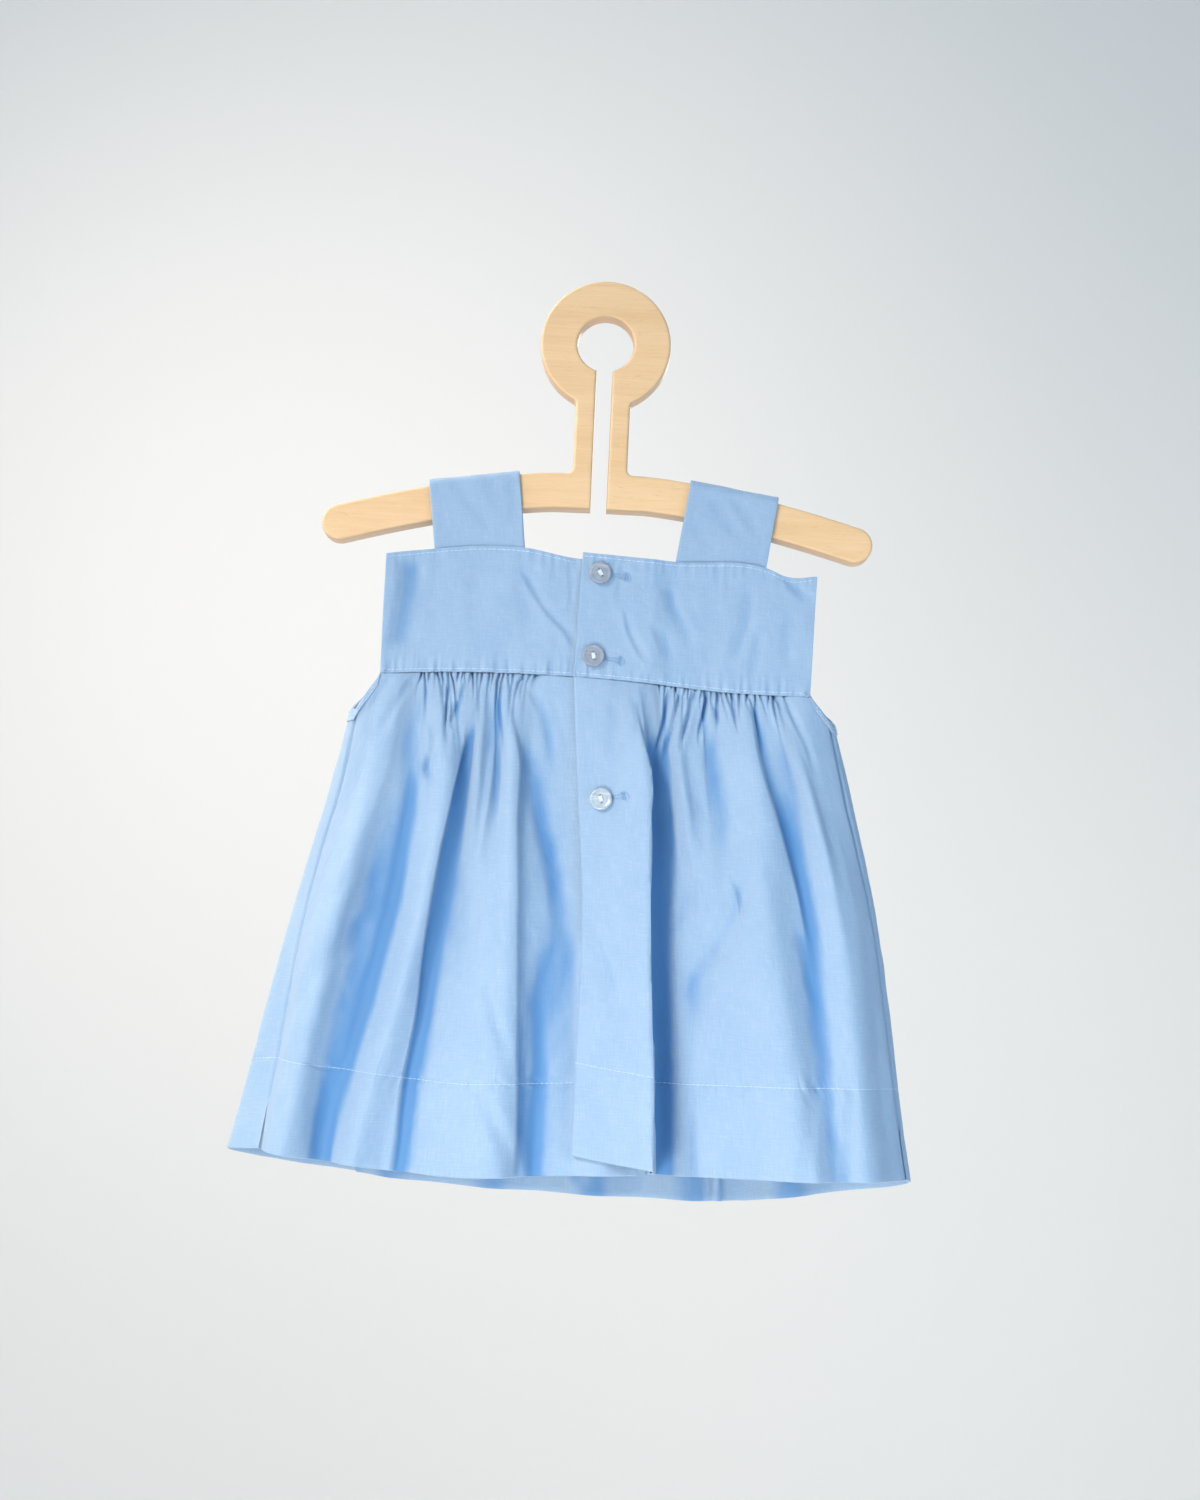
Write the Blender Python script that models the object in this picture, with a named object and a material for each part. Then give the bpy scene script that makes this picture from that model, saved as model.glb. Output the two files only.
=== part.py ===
"""A child's sleeveless cotton tunic hanging on a flat wooden hanger.

The tables are in millimetres: x to the right, y to the back, depth down from the origin.
The origin is the top of the hanger's eye at half its thickness, where the hanger is hung.
"""
import math
from collections import namedtuple

import bmesh
import bpy
from mathutils import Matrix, Vector

MM = 0.001
GAP = 0.3

# Hanger
HANGER_THICKNESS = 12.0
HANGER_EDGE_ROUND = 1.5
RING_RADIUS = 34.6
EYE_RADIUS = 15.0
SLOT_HALF_WIDTH = 4.2
NECK_HALF_WIDTH = 14.4
NECK_FILLET = 3.2
ARM_HALF_HEIGHT = 9.5
ARM_AXIS_DEPTH = 95.2
ARM_LEVEL_TO = 20.0
ARM_DROOP = 0.0181
ARM_END = 135.2
ARM_FIRST_STATION = 28.0
ARM_STATIONS = 7

# Cloth
CLOTH = 1.5
YOKE_FRONT_Y = -9.5
LAP_FRONT_Y = -11.7
YOKE_BACK_Y = 8.5
LAP_BLEND = (30.0, 41.0)
YOKE_EDGE_CURL = 2.2
YOKE_CURL_WIDTH = 22.0

# Straps
STRAP_COLUMNS = 6
STRAP_SIDE_Y = HANGER_THICKNESS / 2 + GAP + CLOTH / 2
STRAP_CORNER = 3.2
STRAP_STAND = 12.0
STRAP_LIFT = 1.8

# Skirt
LEVELS = (197.0, 252.0, 303.0, 417.0)
GATHER_SWING = 0.85
GATHER_ROWS = (0.0, 4.0, 10.0, 18.0, 30.0, 48.0)
GATHER_FULL_TO = 9.0
GATHER_GONE_BY = 44.0
BODY_ROWS = (0.34, 0.68)
HEM_HEIGHT = 45.5
HEM_STEP = 0.8
HEM_LAYER = 0.9
VENT_TOP = 418.0
VENT_WIDTH = 4.2

# Armhole bindings
BINDING_WIDTH = 7.5
BINDING = 1.0

# Buttons
BUTTON_RADIUS = 5.75
BUTTON_THICKNESS = 2.2
BUTTON_DISH = 0.5
BUTTON_HOLE_RADIUS = 0.8
BUTTON_HOLE_SPACING = 2.6
BUTTON_SIDES = 24

Edge = namedtuple("Edge", "x depth")

# The yoke's upper edges and the seam under it, as points along x
YOKE_TOP_LEFT = [
    Edge(-109.0, 134.9),
    Edge(-84.1, 130.6),
    Edge(-37.2, 127.9),
    Edge(-10.8, 132.3),
    Edge(25.0, 131.5),
]
YOKE_TOP_RIGHT = [
    Edge(-6.8, 129.4),
    Edge(41.4, 131.9),
    Edge(88.9, 132.9),
    Edge(101.6, 137.5),
    Edge(115.7, 136.3),
]
YOKE_TOP_BACK = [
    Edge(-108.5, 136.5),
    Edge(-84.1, 132.6),
    Edge(-37.2, 130.4),
    Edge(2.0, 134.5),
    Edge(41.4, 133.4),
    Edge(88.9, 134.6),
    Edge(114.5, 138.2),
]
YOKE_SEAM = [
    Edge(-109.0, 197.4),
    Edge(-72.8, 195.2),
    Edge(-7.9, 194.8),
    Edge(31.0, 196.8),
    Edge(77.8, 199.8),
    Edge(114.2, 199.7),
]

Yoke = namedtuple("Yoke", "node top_edge left_top left_foot right_top right_foot columns")
YOKES = [
    Yoke("yoke_front_left", YOKE_TOP_LEFT, -109.0, -109.0, 25.0, 24.0, 16),
    Yoke("yoke_front_right", YOKE_TOP_RIGHT, -6.8, -8.5, 115.7, 114.2, 16),
    Yoke("yoke_back", YOKE_TOP_BACK, 114.5, 114.0, -108.5, -108.5, 18),
]
YOKE_ROWS = 6

Strap = namedtuple("Strap", "node inner_top outer_top inner_foot outer_foot")
STRAPS = [
    Strap("strap_left", -42.3, -89.6, -37.2, -84.1),
    Strap("strap_right", 48.1, 94.7, 41.4, 88.9),
]

# Lines down the skirt, in order round it from the edge of the lap to the edge under it.
# x and y hold a value for each of LEVELS. drop is how far the top edge lies under the yoke's seam.
# Between a line and the next there are either so many gathers or so many plain columns.
Line = namedtuple("Line", "name x y drop hem gathers columns")
LINES = [
    Line("lap_edge", (-8.5, -4.0, 0.4, 1.3), (-11.7, -16.0, -20.0, -29.0), 0, 437.3, 0, 3),
    Line("lap_middle", (10, 13, 15, 18), (-11.7, -18.5, -24.0, -34.0), 0, 439.8, 0, 4),
    Line("lap_fold", (26.5, 34.5, 37, 43), (-11.7, -20.5, -27.0, -39.0), 0, 443.2, 0, 3),
    Line("fold_return", (30.5, 35, 39, 39), (-11.0, -15.0, -17.5, -26.0), 0, 445.4, 0, 3),
    Line("deep_valley", (35, 41, 49, 57), (-9.7, -10.5, -13.0, -17.0), 0, 446.0, 5, 0),
    Line("right_ridge_1", (47, 51, 60, 75), (-9.5, -17.0, -17.0, -22.0), 0, 445.6, 4, 0),
    Line("right_valley_1", (58, 64, 71, 88), (-9.5, -12.0, -19.5, -25.0), 0, 445.4, 7, 0),
    Line("right_ridge_2", (78, 89, 94, 117), (-9.5, -19.5, -26.0, -33.0), 0, 445.0, 5, 0),
    Line("right_valley_2", (92, 106, 112, 129), (-9.5, -13.5, -17.0, -26.5), 0, 444.6, 3, 0),
    Line("right_ridge_3", (101, 116, 131, 146), (-9.5, -16.5, -21.0, -28.0), 0, 444.2, 0, 3),
    Line("right_corner", (113.6, 126, 141, 157.5), (-9.5, -11.0, -13.0, -17.0), 0, 443.9, 0, 3),
    Line("right_side_seam", (121, 134, 147, 166), (-5.0, -6.0, -6.5, -8.0), 12.1, 443.8, 0, 2),
    Line("right_side", (123, 138, 150.5, 169), (1.0, 1.0, 1.0, 2.0), 11.5, 445.5, 0, 3),
    Line("back_corner_right", (113.5, 129, 142, 160), (8.5, 9.5, 11.0, 13.5), 0, 449.0, 0, 3),
    Line("back_ridge_1", (97, 106, 116, 133), (8.5, 14.5, 17.5, 20.0), 0, 453.0, 3, 0),
    Line("back_valley_1", (82, 89, 97, 110), (8.5, 10.0, 11.0, 12.0), 0, 456.5, 3, 0),
    Line("back_ridge_2", (66, 70, 77, 88), (8.5, 15.0, 17.0, 19.5), 0, 459.6, 3, 0),
    Line("back_valley_2", (49, 52, 56, 62), (8.5, 10.0, 11.5, 12.0), 0, 460.4, 3, 0),
    Line("back_ridge_3", (32, 33, 35, 38), (8.5, 14.0, 17.0, 20.5), 0, 460.4, 3, 0),
    Line("back_valley_3", (14, 14, 14, 13), (8.5, 10.5, 11.0, 12.0), 0, 460.0, 3, 0),
    Line("back_ridge_4", (-4, -6, -8, -12), (8.5, 15.0, 18.0, 20.0), 0, 459.4, 3, 0),
    Line("back_valley_4", (-22, -25, -29, -37), (8.5, 10.0, 11.0, 12.5), 0, 458.7, 3, 0),
    Line("back_ridge_5", (-41, -45, -51, -63), (8.5, 14.5, 17.5, 19.5), 0, 457.4, 3, 0),
    Line("back_valley_5", (-59, -65, -73, -87), (8.5, 10.0, 11.5, 12.5), 0, 455.6, 3, 0),
    Line("back_ridge_6", (-77, -85, -95, -111), (8.5, 14.0, 16.5, 19.0), 0, 452.6, 3, 0),
    Line("back_valley_6", (-93, -102, -113, -131), (8.5, 10.0, 11.0, 13.0), 0, 450.2, 0, 3),
    Line("back_corner_left", (-108, -120, -132, -153), (8.5, 9.0, 10.0, 12.0), 0, 447.4, 0, 3),
    Line("left_side", (-120, -130.5, -143, -167), (1.5, 1.0, 0.5, 0.0), 18.3, 443.5, 0, 3),
    Line("left_side_seam", (-117.5, -125, -136, -151.5), (-6.0, -7.5, -9.5, -12.5), 18.3, 442.0, 0, 3),
    Line("left_corner", (-108.4, -115, -129, -146), (-9.5, -12.5, -17.5, -22.0), 0, 443.0, 0, 2),
    Line("left_ridge_1", (-98, -103, -121, -139), (-9.5, -17.0, -23.5, -27.5), 0, 444.0, 0, 4),
    Line("left_valley_1", (-89, -91, -94, -118), (-9.5, -11.0, -12.0, -17.0), 0, 446.0, 5, 0),
    Line("left_ridge_2", (-77, -70, -76, -100), (-9.5, -17.5, -22.0, -26.5), 0, 447.6, 5, 0),
    Line("left_valley_2", (-66, -61.5, -67, -88), (-9.5, -10.5, -15.0, -21.0), 0, 448.8, 4, 0),
    Line("left_ridge_3", (-57, -54, -57, -64), (-9.5, -17.5, -20.0, -28.0), 0, 450.2, 3, 0),
    Line("left_valley_3", (-49, -46, -48, -51), (-9.5, -12.5, -24.0, -32.5), 0, 450.4, 4, 0),
    Line("left_ridge_4", (-39, -38, -38, -37), (-9.5, -18.0, -28.0, -36.0), 0, 449.6, 3, 0),
    Line("left_valley_4", (-28, -27, -13, -16), (-9.5, -12.0, -16.0, -24.0), 0, 448.6, 0, 4),
    Line("under_middle", (2, 3, 8, 8), (-9.5, -12.7, -17.0, -25.5), 0, 447.0, 0, 3),
    Line("under_edge", (24, 26, 29, 33), (-9.5, -12.7, -17.0, -26.0), 0, 446.0, 0, 0),
]
NUMBER = {line.name: number for number, line in enumerate(LINES)}

Panel = namedtuple("Panel", "node first last")
PANELS = [
    Panel("skirt_front_right", "lap_edge", "right_side_seam"),
    Panel("skirt_back", "right_side_seam", "left_side_seam"),
    Panel("skirt_front_left", "left_side_seam", "under_edge"),
]
BINDINGS = [
    Panel("armhole_binding_right", "right_corner", "back_corner_right"),
    Panel("armhole_binding_left", "back_corner_left", "left_corner"),
]
BINDING_COLUMNS = 4
BINDING_ROWS = 2

# Buttons: where each one sits on the lap, and how far its two holes are turned from level
Button = namedtuple("Button", "node x depth turn")
BUTTONS = [
    Button("button_1", 2.8, 140.3, 62.0),
    Button("button_2", 1.2, 184.1, 80.0),
    Button("button_3", 8.7, 259.0, 75.0),
]


def paint(name, color, roughness):
    """A plain material of that colour."""
    material = bpy.data.materials.new(name)
    material.use_nodes = True
    surface = material.node_tree.nodes["Principled BSDF"]
    surface.inputs["Base Color"].default_value = (*color, 1.0)
    surface.inputs["Roughness"].default_value = roughness
    surface.inputs["Metallic"].default_value = 0.0
    return material


def add_object(name, bm, material):
    """Turns a bmesh in metres into an object with smooth sides and sharp corners."""
    bmesh.ops.recalc_face_normals(bm, faces=bm.faces[:])
    mesh = bpy.data.meshes.new(name)
    bm.to_mesh(mesh)
    bm.free()
    mesh.materials.append(material)
    mesh.shade_smooth()
    mesh.set_sharp_from_angle(angle=math.radians(40))
    thing = bpy.data.objects.new(name, mesh)
    bpy.context.scene.collection.objects.link(thing)
    return thing


def blend(low, high, value):
    """0 below low, 1 above high, and an even S between them."""
    t = min(1.0, max(0.0, (value - low) / (high - low)))
    return t * t * (3 - 2 * t)


def slope_at(knots, values, k):
    """The slope of a smooth curve through the values at knot k."""
    last = len(knots) - 1
    before = max(k - 1, 0)
    after = min(k + 1, last)
    if k in (0, last):
        return (values[after] - values[before]) / (knots[after] - knots[before])
    left = (values[k] - values[before]) / (knots[k] - knots[before])
    right = (values[after] - values[k]) / (knots[after] - knots[k])
    span_left = knots[k] - knots[before]
    span_right = knots[after] - knots[k]
    return (left * span_right + right * span_left) / (span_left + span_right)


def hermite(a, b, slope_a, slope_b, span, t):
    """A cubic from a to b that leaves and arrives with the given slopes."""
    return (
        (2 * t**3 - 3 * t**2 + 1) * a
        + (t**3 - 2 * t**2 + t) * span * slope_a
        + (3 * t**2 - 2 * t**3) * b
        + (t**3 - t**2) * span * slope_b
    )


def smooth_through(knots, values, at):
    """A smooth curve through the values, straight on past both ends."""
    last = len(knots) - 1
    if at <= knots[0]:
        return values[0] + (at - knots[0]) * slope_at(knots, values, 0)
    if at >= knots[last]:
        return values[last] + (at - knots[last]) * slope_at(knots, values, last)
    k = max(n for n in range(last) if knots[n] <= at)
    span = knots[k + 1] - knots[k]
    a = slope_at(knots, values, k)
    b = slope_at(knots, values, k + 1)
    return hermite(values[k], values[k + 1], a, b, span, (at - knots[k]) / span)


def edge_depth(edge, x):
    """The depth of an edge at x, level past its ends."""
    inside = min(max(x, edge[0].x), edge[-1].x)
    return smooth_through([p.x for p in edge], [p.depth for p in edge], inside)


def cloth_wall(name, columns, rows, surface, material):
    """A closed wall of cloth: surface(column, row) gives its outer and its inner point."""
    bm = bmesh.new()
    bmesh.ops.create_grid(bm, x_segments=columns, y_segments=rows, size=0.5)
    number = bm.verts.layers.int.new("number")
    outer = []
    inner = []
    for v in bm.verts:
        column = round((v.co.x + 0.5) * columns)
        row = round((v.co.y + 0.5) * rows)
        out, within = surface(column, row)
        v[number] = len(outer)
        outer.append(out)
        inner.append(within)
    made = bmesh.ops.extrude_face_region(bm, geom=bm.faces[:], use_keep_orig=True)
    copies = {v for v in made["geom"] if isinstance(v, bmesh.types.BMVert)}
    for v in bm.verts:
        v.co = Vector(inner[v[number]] if v in copies else outer[v[number]]) * MM
    return add_object(name, bm, material)


def arm_axis(x):
    """Depth of the arm's middle line, which is level near the neck and then droops."""
    return ARM_AXIS_DEPTH + ARM_DROOP * max(0.0, abs(x) - ARM_LEVEL_TO) ** 1.5


def arm_edge(x, side):
    """A point on the arm's upper (side -1) or lower (side 1) edge, square to its middle line."""
    step = 0.5
    lean = math.atan((arm_axis(x + step) - arm_axis(x - step)) / (2 * step))
    return (
        x - side * ARM_HALF_HEIGHT * math.sin(lean),
        arm_axis(x) + side * ARM_HALF_HEIGHT * math.cos(lean),
    )


def arm_top(x):
    """Depth of the arm's upper edge over x."""
    return arm_axis(x) - ARM_HALF_HEIGHT * 1.02


def arc(x, depth, radius, start, end, steps):
    """Points on an arc. An angle is measured from straight up, towards +x."""
    angles = [math.radians(start + (end - start) * k / steps) for k in range(steps + 1)]
    return [(x + radius * math.sin(a), depth - radius * math.cos(a)) for a in angles]


def hanger_half_outline():
    """The hanger's right half, from the top of the ring round to the top of the eye."""
    ring_depth = EYE_RADIUS
    fillet_x = NECK_HALF_WIDTH + NECK_FILLET
    reach = RING_RADIUS + NECK_FILLET
    meets = 180 - math.degrees(math.asin(fillet_x / reach))
    fillet_depth = ring_depth + math.sqrt(reach**2 - fillet_x**2)
    points = arc(0, ring_depth, RING_RADIUS, 0, meets, 15)
    points += arc(fillet_x, fillet_depth, NECK_FILLET, meets - 180, -90, 3)[1:]
    shoulder = ARM_AXIS_DEPTH - ARM_HALF_HEIGHT - NECK_FILLET
    points += arc(fillet_x, shoulder, NECK_FILLET, -90, -180, 4)
    step = (ARM_END - ARM_FIRST_STATION) / ARM_STATIONS
    stations = [ARM_FIRST_STATION + step * k for k in range(ARM_STATIONS)]
    points += [arm_edge(x, -1) for x in stations]
    lean = math.degrees(math.atan(1.5 * ARM_DROOP * (ARM_END - ARM_LEVEL_TO) ** 0.5))
    points += arc(ARM_END, arm_axis(ARM_END), ARM_HALF_HEIGHT, lean, lean + 180, 9)
    points += [arm_edge(x, 1) for x in reversed(stations)]
    points.append((SLOT_HALF_WIDTH, ARM_AXIS_DEPTH + ARM_HALF_HEIGHT))
    slot_angle = 180 - math.degrees(math.asin(SLOT_HALF_WIDTH / EYE_RADIUS))
    points += arc(0, ring_depth, EYE_RADIUS, slot_angle, 0, 11)
    return points


def make_hanger(material):
    """One board with a ring, an eye, a slot down through the neck and two drooping arms."""
    half = hanger_half_outline()
    outline = half + [(-x, depth) for x, depth in reversed(half[1:-1])]
    bm = bmesh.new()
    front = HANGER_THICKNESS / 2
    corners = [bm.verts.new(Vector((x, -front, -depth)) * MM) for x, depth in outline]
    face = bm.faces.new(corners)
    made = bmesh.ops.extrude_face_region(bm, geom=[face], use_keep_orig=True)
    moved = [v for v in made["geom"] if isinstance(v, bmesh.types.BMVert)]
    bmesh.ops.translate(bm, verts=moved, vec=(0, HANGER_THICKNESS * MM, 0))
    bm.normal_update()
    rims = [e for e in bm.edges if abs(e.verts[0].co.y - e.verts[1].co.y) < MM / 10]
    bmesh.ops.bevel(
        bm,
        geom=rims,
        offset=HANGER_EDGE_ROUND * MM,
        segments=2,
        profile=0.5,
        material=-1,
        affect="EDGES",
    )
    return add_object("hanger", bm, material)


def yoke_y(yoke, x, depth):
    """How far back the yoke's middle layer lies."""
    if yoke.node == "yoke_back":
        return YOKE_BACK_Y
    if yoke.node == "yoke_front_right":
        return LAP_FRONT_Y + (YOKE_FRONT_Y - LAP_FRONT_Y) * blend(*LAP_BLEND, x)
    above_seam = blend(0, 40, edge_depth(YOKE_SEAM, x) - depth)
    curl = 1 - blend(0, YOKE_CURL_WIDTH, x - yoke.left_top)
    return YOKE_FRONT_Y - YOKE_EDGE_CURL * curl * above_seam


def make_yoke(yoke, material):
    """A flat rectangle of cloth with its own upper edge, ending just above the skirt's seam."""

    def surface(column, row):
        across = column / yoke.columns
        down = row / YOKE_ROWS
        x_top = yoke.left_top + (yoke.right_top - yoke.left_top) * across
        x_foot = yoke.left_foot + (yoke.right_foot - yoke.left_foot) * across
        top = edge_depth(yoke.top_edge, x_top)
        foot = edge_depth(YOKE_SEAM, x_foot)
        x = x_top + (x_foot - x_top) * down
        depth = top + (foot - top) * down
        y = yoke_y(yoke, x, depth)
        outwards = 1 if yoke.node == "yoke_back" else -1
        half = CLOTH / 2 * outwards
        return (x, y + half, -depth), (x, y - half, -depth)

    return cloth_wall(yoke.node, yoke.columns, YOKE_ROWS, surface, material)


def strap_path(crown, front_end, back_end, front_y):
    """The strap's side view: up the front, over the arm and down the back, as (y, depth)."""
    side = STRAP_SIDE_Y
    stand = crown + STRAP_STAND
    path = []
    for k in range(4):
        t = k / 4
        path.append((front_y + (-side - front_y) * t, front_end + (stand - front_end) * t))
    path.append((-side, stand))
    path += arc(-side + STRAP_CORNER, crown + STRAP_CORNER, STRAP_CORNER, -90, 0, 3)
    path += arc(side - STRAP_CORNER, crown + STRAP_CORNER, STRAP_CORNER, 0, 90, 3)
    path.append((side, stand))
    for k in range(4):
        t = (k + 1) / 4
        path.append((side + (YOKE_BACK_Y - side) * t, stand + (back_end - stand) * t))
    return path


def make_strap(strap, material):
    """A wide strap that goes over the hanger's arm, from the front yoke to the back yoke."""
    front_edge = YOKE_TOP_LEFT if strap.inner_top < 0 else YOKE_TOP_RIGHT
    paths = []
    for column in range(STRAP_COLUMNS + 1):
        across = column / STRAP_COLUMNS
        x_top = strap.inner_top + (strap.outer_top - strap.inner_top) * across
        x_foot = strap.inner_foot + (strap.outer_foot - strap.inner_foot) * across
        crown = arm_top(x_top) - GAP - CLOTH / 2 - STRAP_LIFT * across**2
        front_end = edge_depth(front_edge, x_foot) - GAP
        back_end = edge_depth(YOKE_TOP_BACK, x_foot) - GAP
        path = strap_path(crown, front_end, back_end, YOKE_FRONT_Y)
        ends = max(front_end, back_end)
        points = []
        for y, depth in path:
            lean = (depth - crown) / (ends - crown)
            points.append(Vector((x_top + (x_foot - x_top) * lean, y, -depth)))
        paths.append(points)

    def surface(column, row):
        points = paths[column]
        before = points[max(row - 1, 0)]
        after = points[min(row + 1, len(points) - 1)]
        along = after - before
        out = Vector((0, -along.z, along.y)).normalized() * CLOTH / 2
        return points[row] + out, points[row] - out

    return cloth_wall(strap.node, STRAP_COLUMNS, len(paths[0]) - 1, surface, material)


def line_point(number, depth):
    """Where a line of the skirt crosses that depth, as (x, y)."""
    line = LINES[number]
    return Vector((smooth_through(LEVELS, line.x, depth), smooth_through(LEVELS, line.y, depth)))


def skirt_point(number, t, depth):
    """A point between line number and the next, and the direction out of the skirt there."""
    first = max(number - 1, 0)
    last = min(number + 2, len(LINES) - 1)
    points = [line_point(k, depth) for k in range(first, last + 1)]
    knots = [0.0]
    for a, b in zip(points, points[1:]):
        knots.append(knots[-1] + (b - a).length)
    here = number - first
    span = knots[here + 1] - knots[here]
    at = knots[here] + span * t
    step = 0.05
    xs = [p.x for p in points]
    ys = [p.y for p in points]
    ahead = Vector((smooth_through(knots, xs, at + step), smooth_through(knots, ys, at + step)))
    behind = Vector((smooth_through(knots, xs, at - step), smooth_through(knots, ys, at - step)))
    along = (ahead - behind).normalized()
    middle = Vector((smooth_through(knots, xs, at), smooth_through(knots, ys, at)))
    return middle, Vector((along.y, -along.x)), span


def skirt_top(number, t):
    """Depth of the skirt's upper edge: the yoke's seam, or the armhole at the sides."""
    near = LINES[number]
    far = LINES[min(number + 1, len(LINES) - 1)]
    near_top = edge_depth(YOKE_SEAM, near.x[0]) + near.drop
    far_top = edge_depth(YOKE_SEAM, far.x[0]) + far.drop
    if near.drop == far.drop == 0:
        x = near.x[0] + (far.x[0] - near.x[0]) * t
        return edge_depth(YOKE_SEAM, x) + GAP
    return near_top + (far_top - near_top) * t + GAP


def skirt_hem(number, t):
    """Depth of the skirt's lower edge."""
    near = LINES[number]
    far = LINES[min(number + 1, len(LINES) - 1)]
    return near.hem + (far.hem - near.hem) * t


def skirt_rows(top, hem):
    """Depths of a column's rows: close together in the gathers, then to the turned-up hem."""
    rows = [top + step for step in GATHER_ROWS]
    fold_line = hem - HEM_HEIGHT
    rows += [rows[-1] + (fold_line - rows[-1]) * share for share in BODY_ROWS]
    rows += [fold_line - HEM_STEP, fold_line, hem]
    return rows


def panel_columns(panel):
    """Each column's line, the share of the way to the next line, and its side of a gather."""
    columns = []
    for number in range(NUMBER[panel.first], NUMBER[panel.last]):
        line = LINES[number]
        count = 2 * line.gathers or line.columns
        for k in range(count):
            swing = (1 if k % 2 else -1) if line.gathers else 0
            columns.append((number, k / count, swing))
    columns.append((NUMBER[panel.last] - 1, 1.0, 0))
    return columns


def make_skirt_panel(panel, material):
    """A gathered panel with its folds and its hem turned up inside."""
    columns = panel_columns(panel)
    row_count = len(skirt_rows(0, 1000)) - 1

    def surface(column, row):
        number, t, swing = columns[column]
        depth = skirt_rows(skirt_top(number, t), skirt_hem(number, t))[row]
        span = skirt_point(number, t, depth)[2]
        inset = GAP / 2
        if panel.node == "skirt_front_left":
            inset += VENT_WIDTH * blend(VENT_TOP, LINES[number].hem, depth)
        if number == NUMBER[panel.first] > 0:
            t += (1 - t) * inset / span
        if column == len(columns) - 1 and number < len(LINES) - 2:
            t = 1 - GAP / 2 / span
        middle, out, span = skirt_point(number, t, depth)
        from_top = depth - skirt_top(number, t)
        fade = 1 - blend(GATHER_FULL_TO, GATHER_GONE_BY, from_top)
        middle = middle + out * swing * GATHER_SWING * fade
        in_hem = row >= row_count - 1
        outer = middle + out * CLOTH / 2
        inner = middle - out * (CLOTH / 2 + (HEM_LAYER if in_hem else 0))
        return (*outer, -depth), (*inner, -depth)

    return cloth_wall(panel.node, len(columns) - 1, row_count, surface, material)


def make_binding(panel, material):
    """A narrow strip on the outside of the skirt along the armhole, made from the skirt's points."""
    first = NUMBER[panel.first]
    count = (NUMBER[panel.last] - first) * BINDING_COLUMNS

    def surface(column, row):
        number = first + min(column, count - 1) // BINDING_COLUMNS
        t = column / BINDING_COLUMNS - (number - first)
        depth = skirt_top(number, t) + BINDING_WIDTH * row / BINDING_ROWS
        middle, out, _ = skirt_point(number, t, depth)
        under = middle + out * (CLOTH / 2 + GAP)
        outer = under + out * BINDING
        return (*outer, -depth), (*under, -depth)

    return cloth_wall(panel.node, count, BINDING_ROWS, surface, material)


def lap_surface(x, depth):
    """A point on the outside of the lap, and the direction out of it."""
    if depth < edge_depth(YOKE_SEAM, x):
        return Vector((x, LAP_FRONT_Y - CLOTH / 2, -depth)), Vector((0, -1, 0))
    parts = [k / 40 for k in range(81)]
    place = min(parts, key=lambda p: abs(skirt_point(int(p), p % 1, depth)[0].x - x))
    middle, out, _ = skirt_point(int(place), place % 1, depth)
    below, _, _ = skirt_point(int(place), place % 1, depth + 1)
    down = Vector((below.x - middle.x, below.y - middle.y, -1))
    across = Vector((-out.y, out.x, 0))
    normal = down.cross(across).normalized()
    if normal.y > 0:
        normal.negate()
    point = Vector((middle.x, middle.y, -depth)) + normal * CLOTH / 2
    return point, normal


def make_button(button, material):
    """A round button with a raised rim and two holes, lying on the lap."""
    half = BUTTON_THICKNESS / 2
    profile = [
        (0.0, half),
        (BUTTON_RADIUS - 0.6, half),
        (BUTTON_RADIUS, half - 0.5),
        (BUTTON_RADIUS, -half + 0.6),
        (BUTTON_RADIUS - 0.5, -half),
        (BUTTON_RADIUS - 1.4, -half),
        (BUTTON_RADIUS - 2.0, -half + BUTTON_DISH),
        (0.0, -half + BUTTON_DISH),
    ]
    bm = bmesh.new()
    points = [bm.verts.new(Vector((r, y, 0)) * MM) for r, y in profile]
    sides = [bm.edges.new(pair) for pair in zip(points, points[1:])]
    bmesh.ops.spin(
        bm,
        geom=points + sides,
        cent=(0, 0, 0),
        axis=(0, 1, 0),
        angle=math.tau,
        steps=BUTTON_SIDES,
        use_merge=True,
    )
    bmesh.ops.remove_doubles(bm, verts=bm.verts[:], dist=MM / 1000)
    disc = add_object(button.node, bm, material)
    bm = bmesh.new()
    for side in (-1, 1):
        along_y = Matrix.Rotation(math.radians(90), 4, "X")
        place = Matrix.Translation((side * BUTTON_HOLE_SPACING / 2 * MM, 0, 0))
        bmesh.ops.create_cone(
            bm,
            cap_ends=True,
            segments=10,
            radius1=BUTTON_HOLE_RADIUS * MM,
            radius2=BUTTON_HOLE_RADIUS * MM,
            depth=BUTTON_THICKNESS * 2 * MM,
            matrix=place @ along_y,
        )
    drill = add_object(button.node + "_drill", bm, material)
    drill.hide_render = True
    drill.display_type = "WIRE"
    drill.parent = disc
    holes = disc.modifiers.new("holes", "BOOLEAN")
    holes.operation = "DIFFERENCE"
    holes.object = drill
    point, normal = lap_surface(button.x, button.depth)
    disc.location = (point + normal * (GAP + half)) * MM
    facing = (-normal).to_track_quat("Y", "Z").to_matrix().to_4x4()
    turned = facing @ Matrix.Rotation(math.radians(button.turn), 4, "Y")
    disc.rotation_euler = turned.to_euler()
    return disc


for thing in list(bpy.data.objects):
    bpy.data.objects.remove(thing)

poplin = paint("light_blue_poplin", (0.38, 0.58, 0.86), 0.85)
wood = paint("pale_wood", (0.80, 0.58, 0.35), 0.5)
shell = paint("grey_shell", (0.40, 0.42, 0.48), 0.35)

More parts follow.
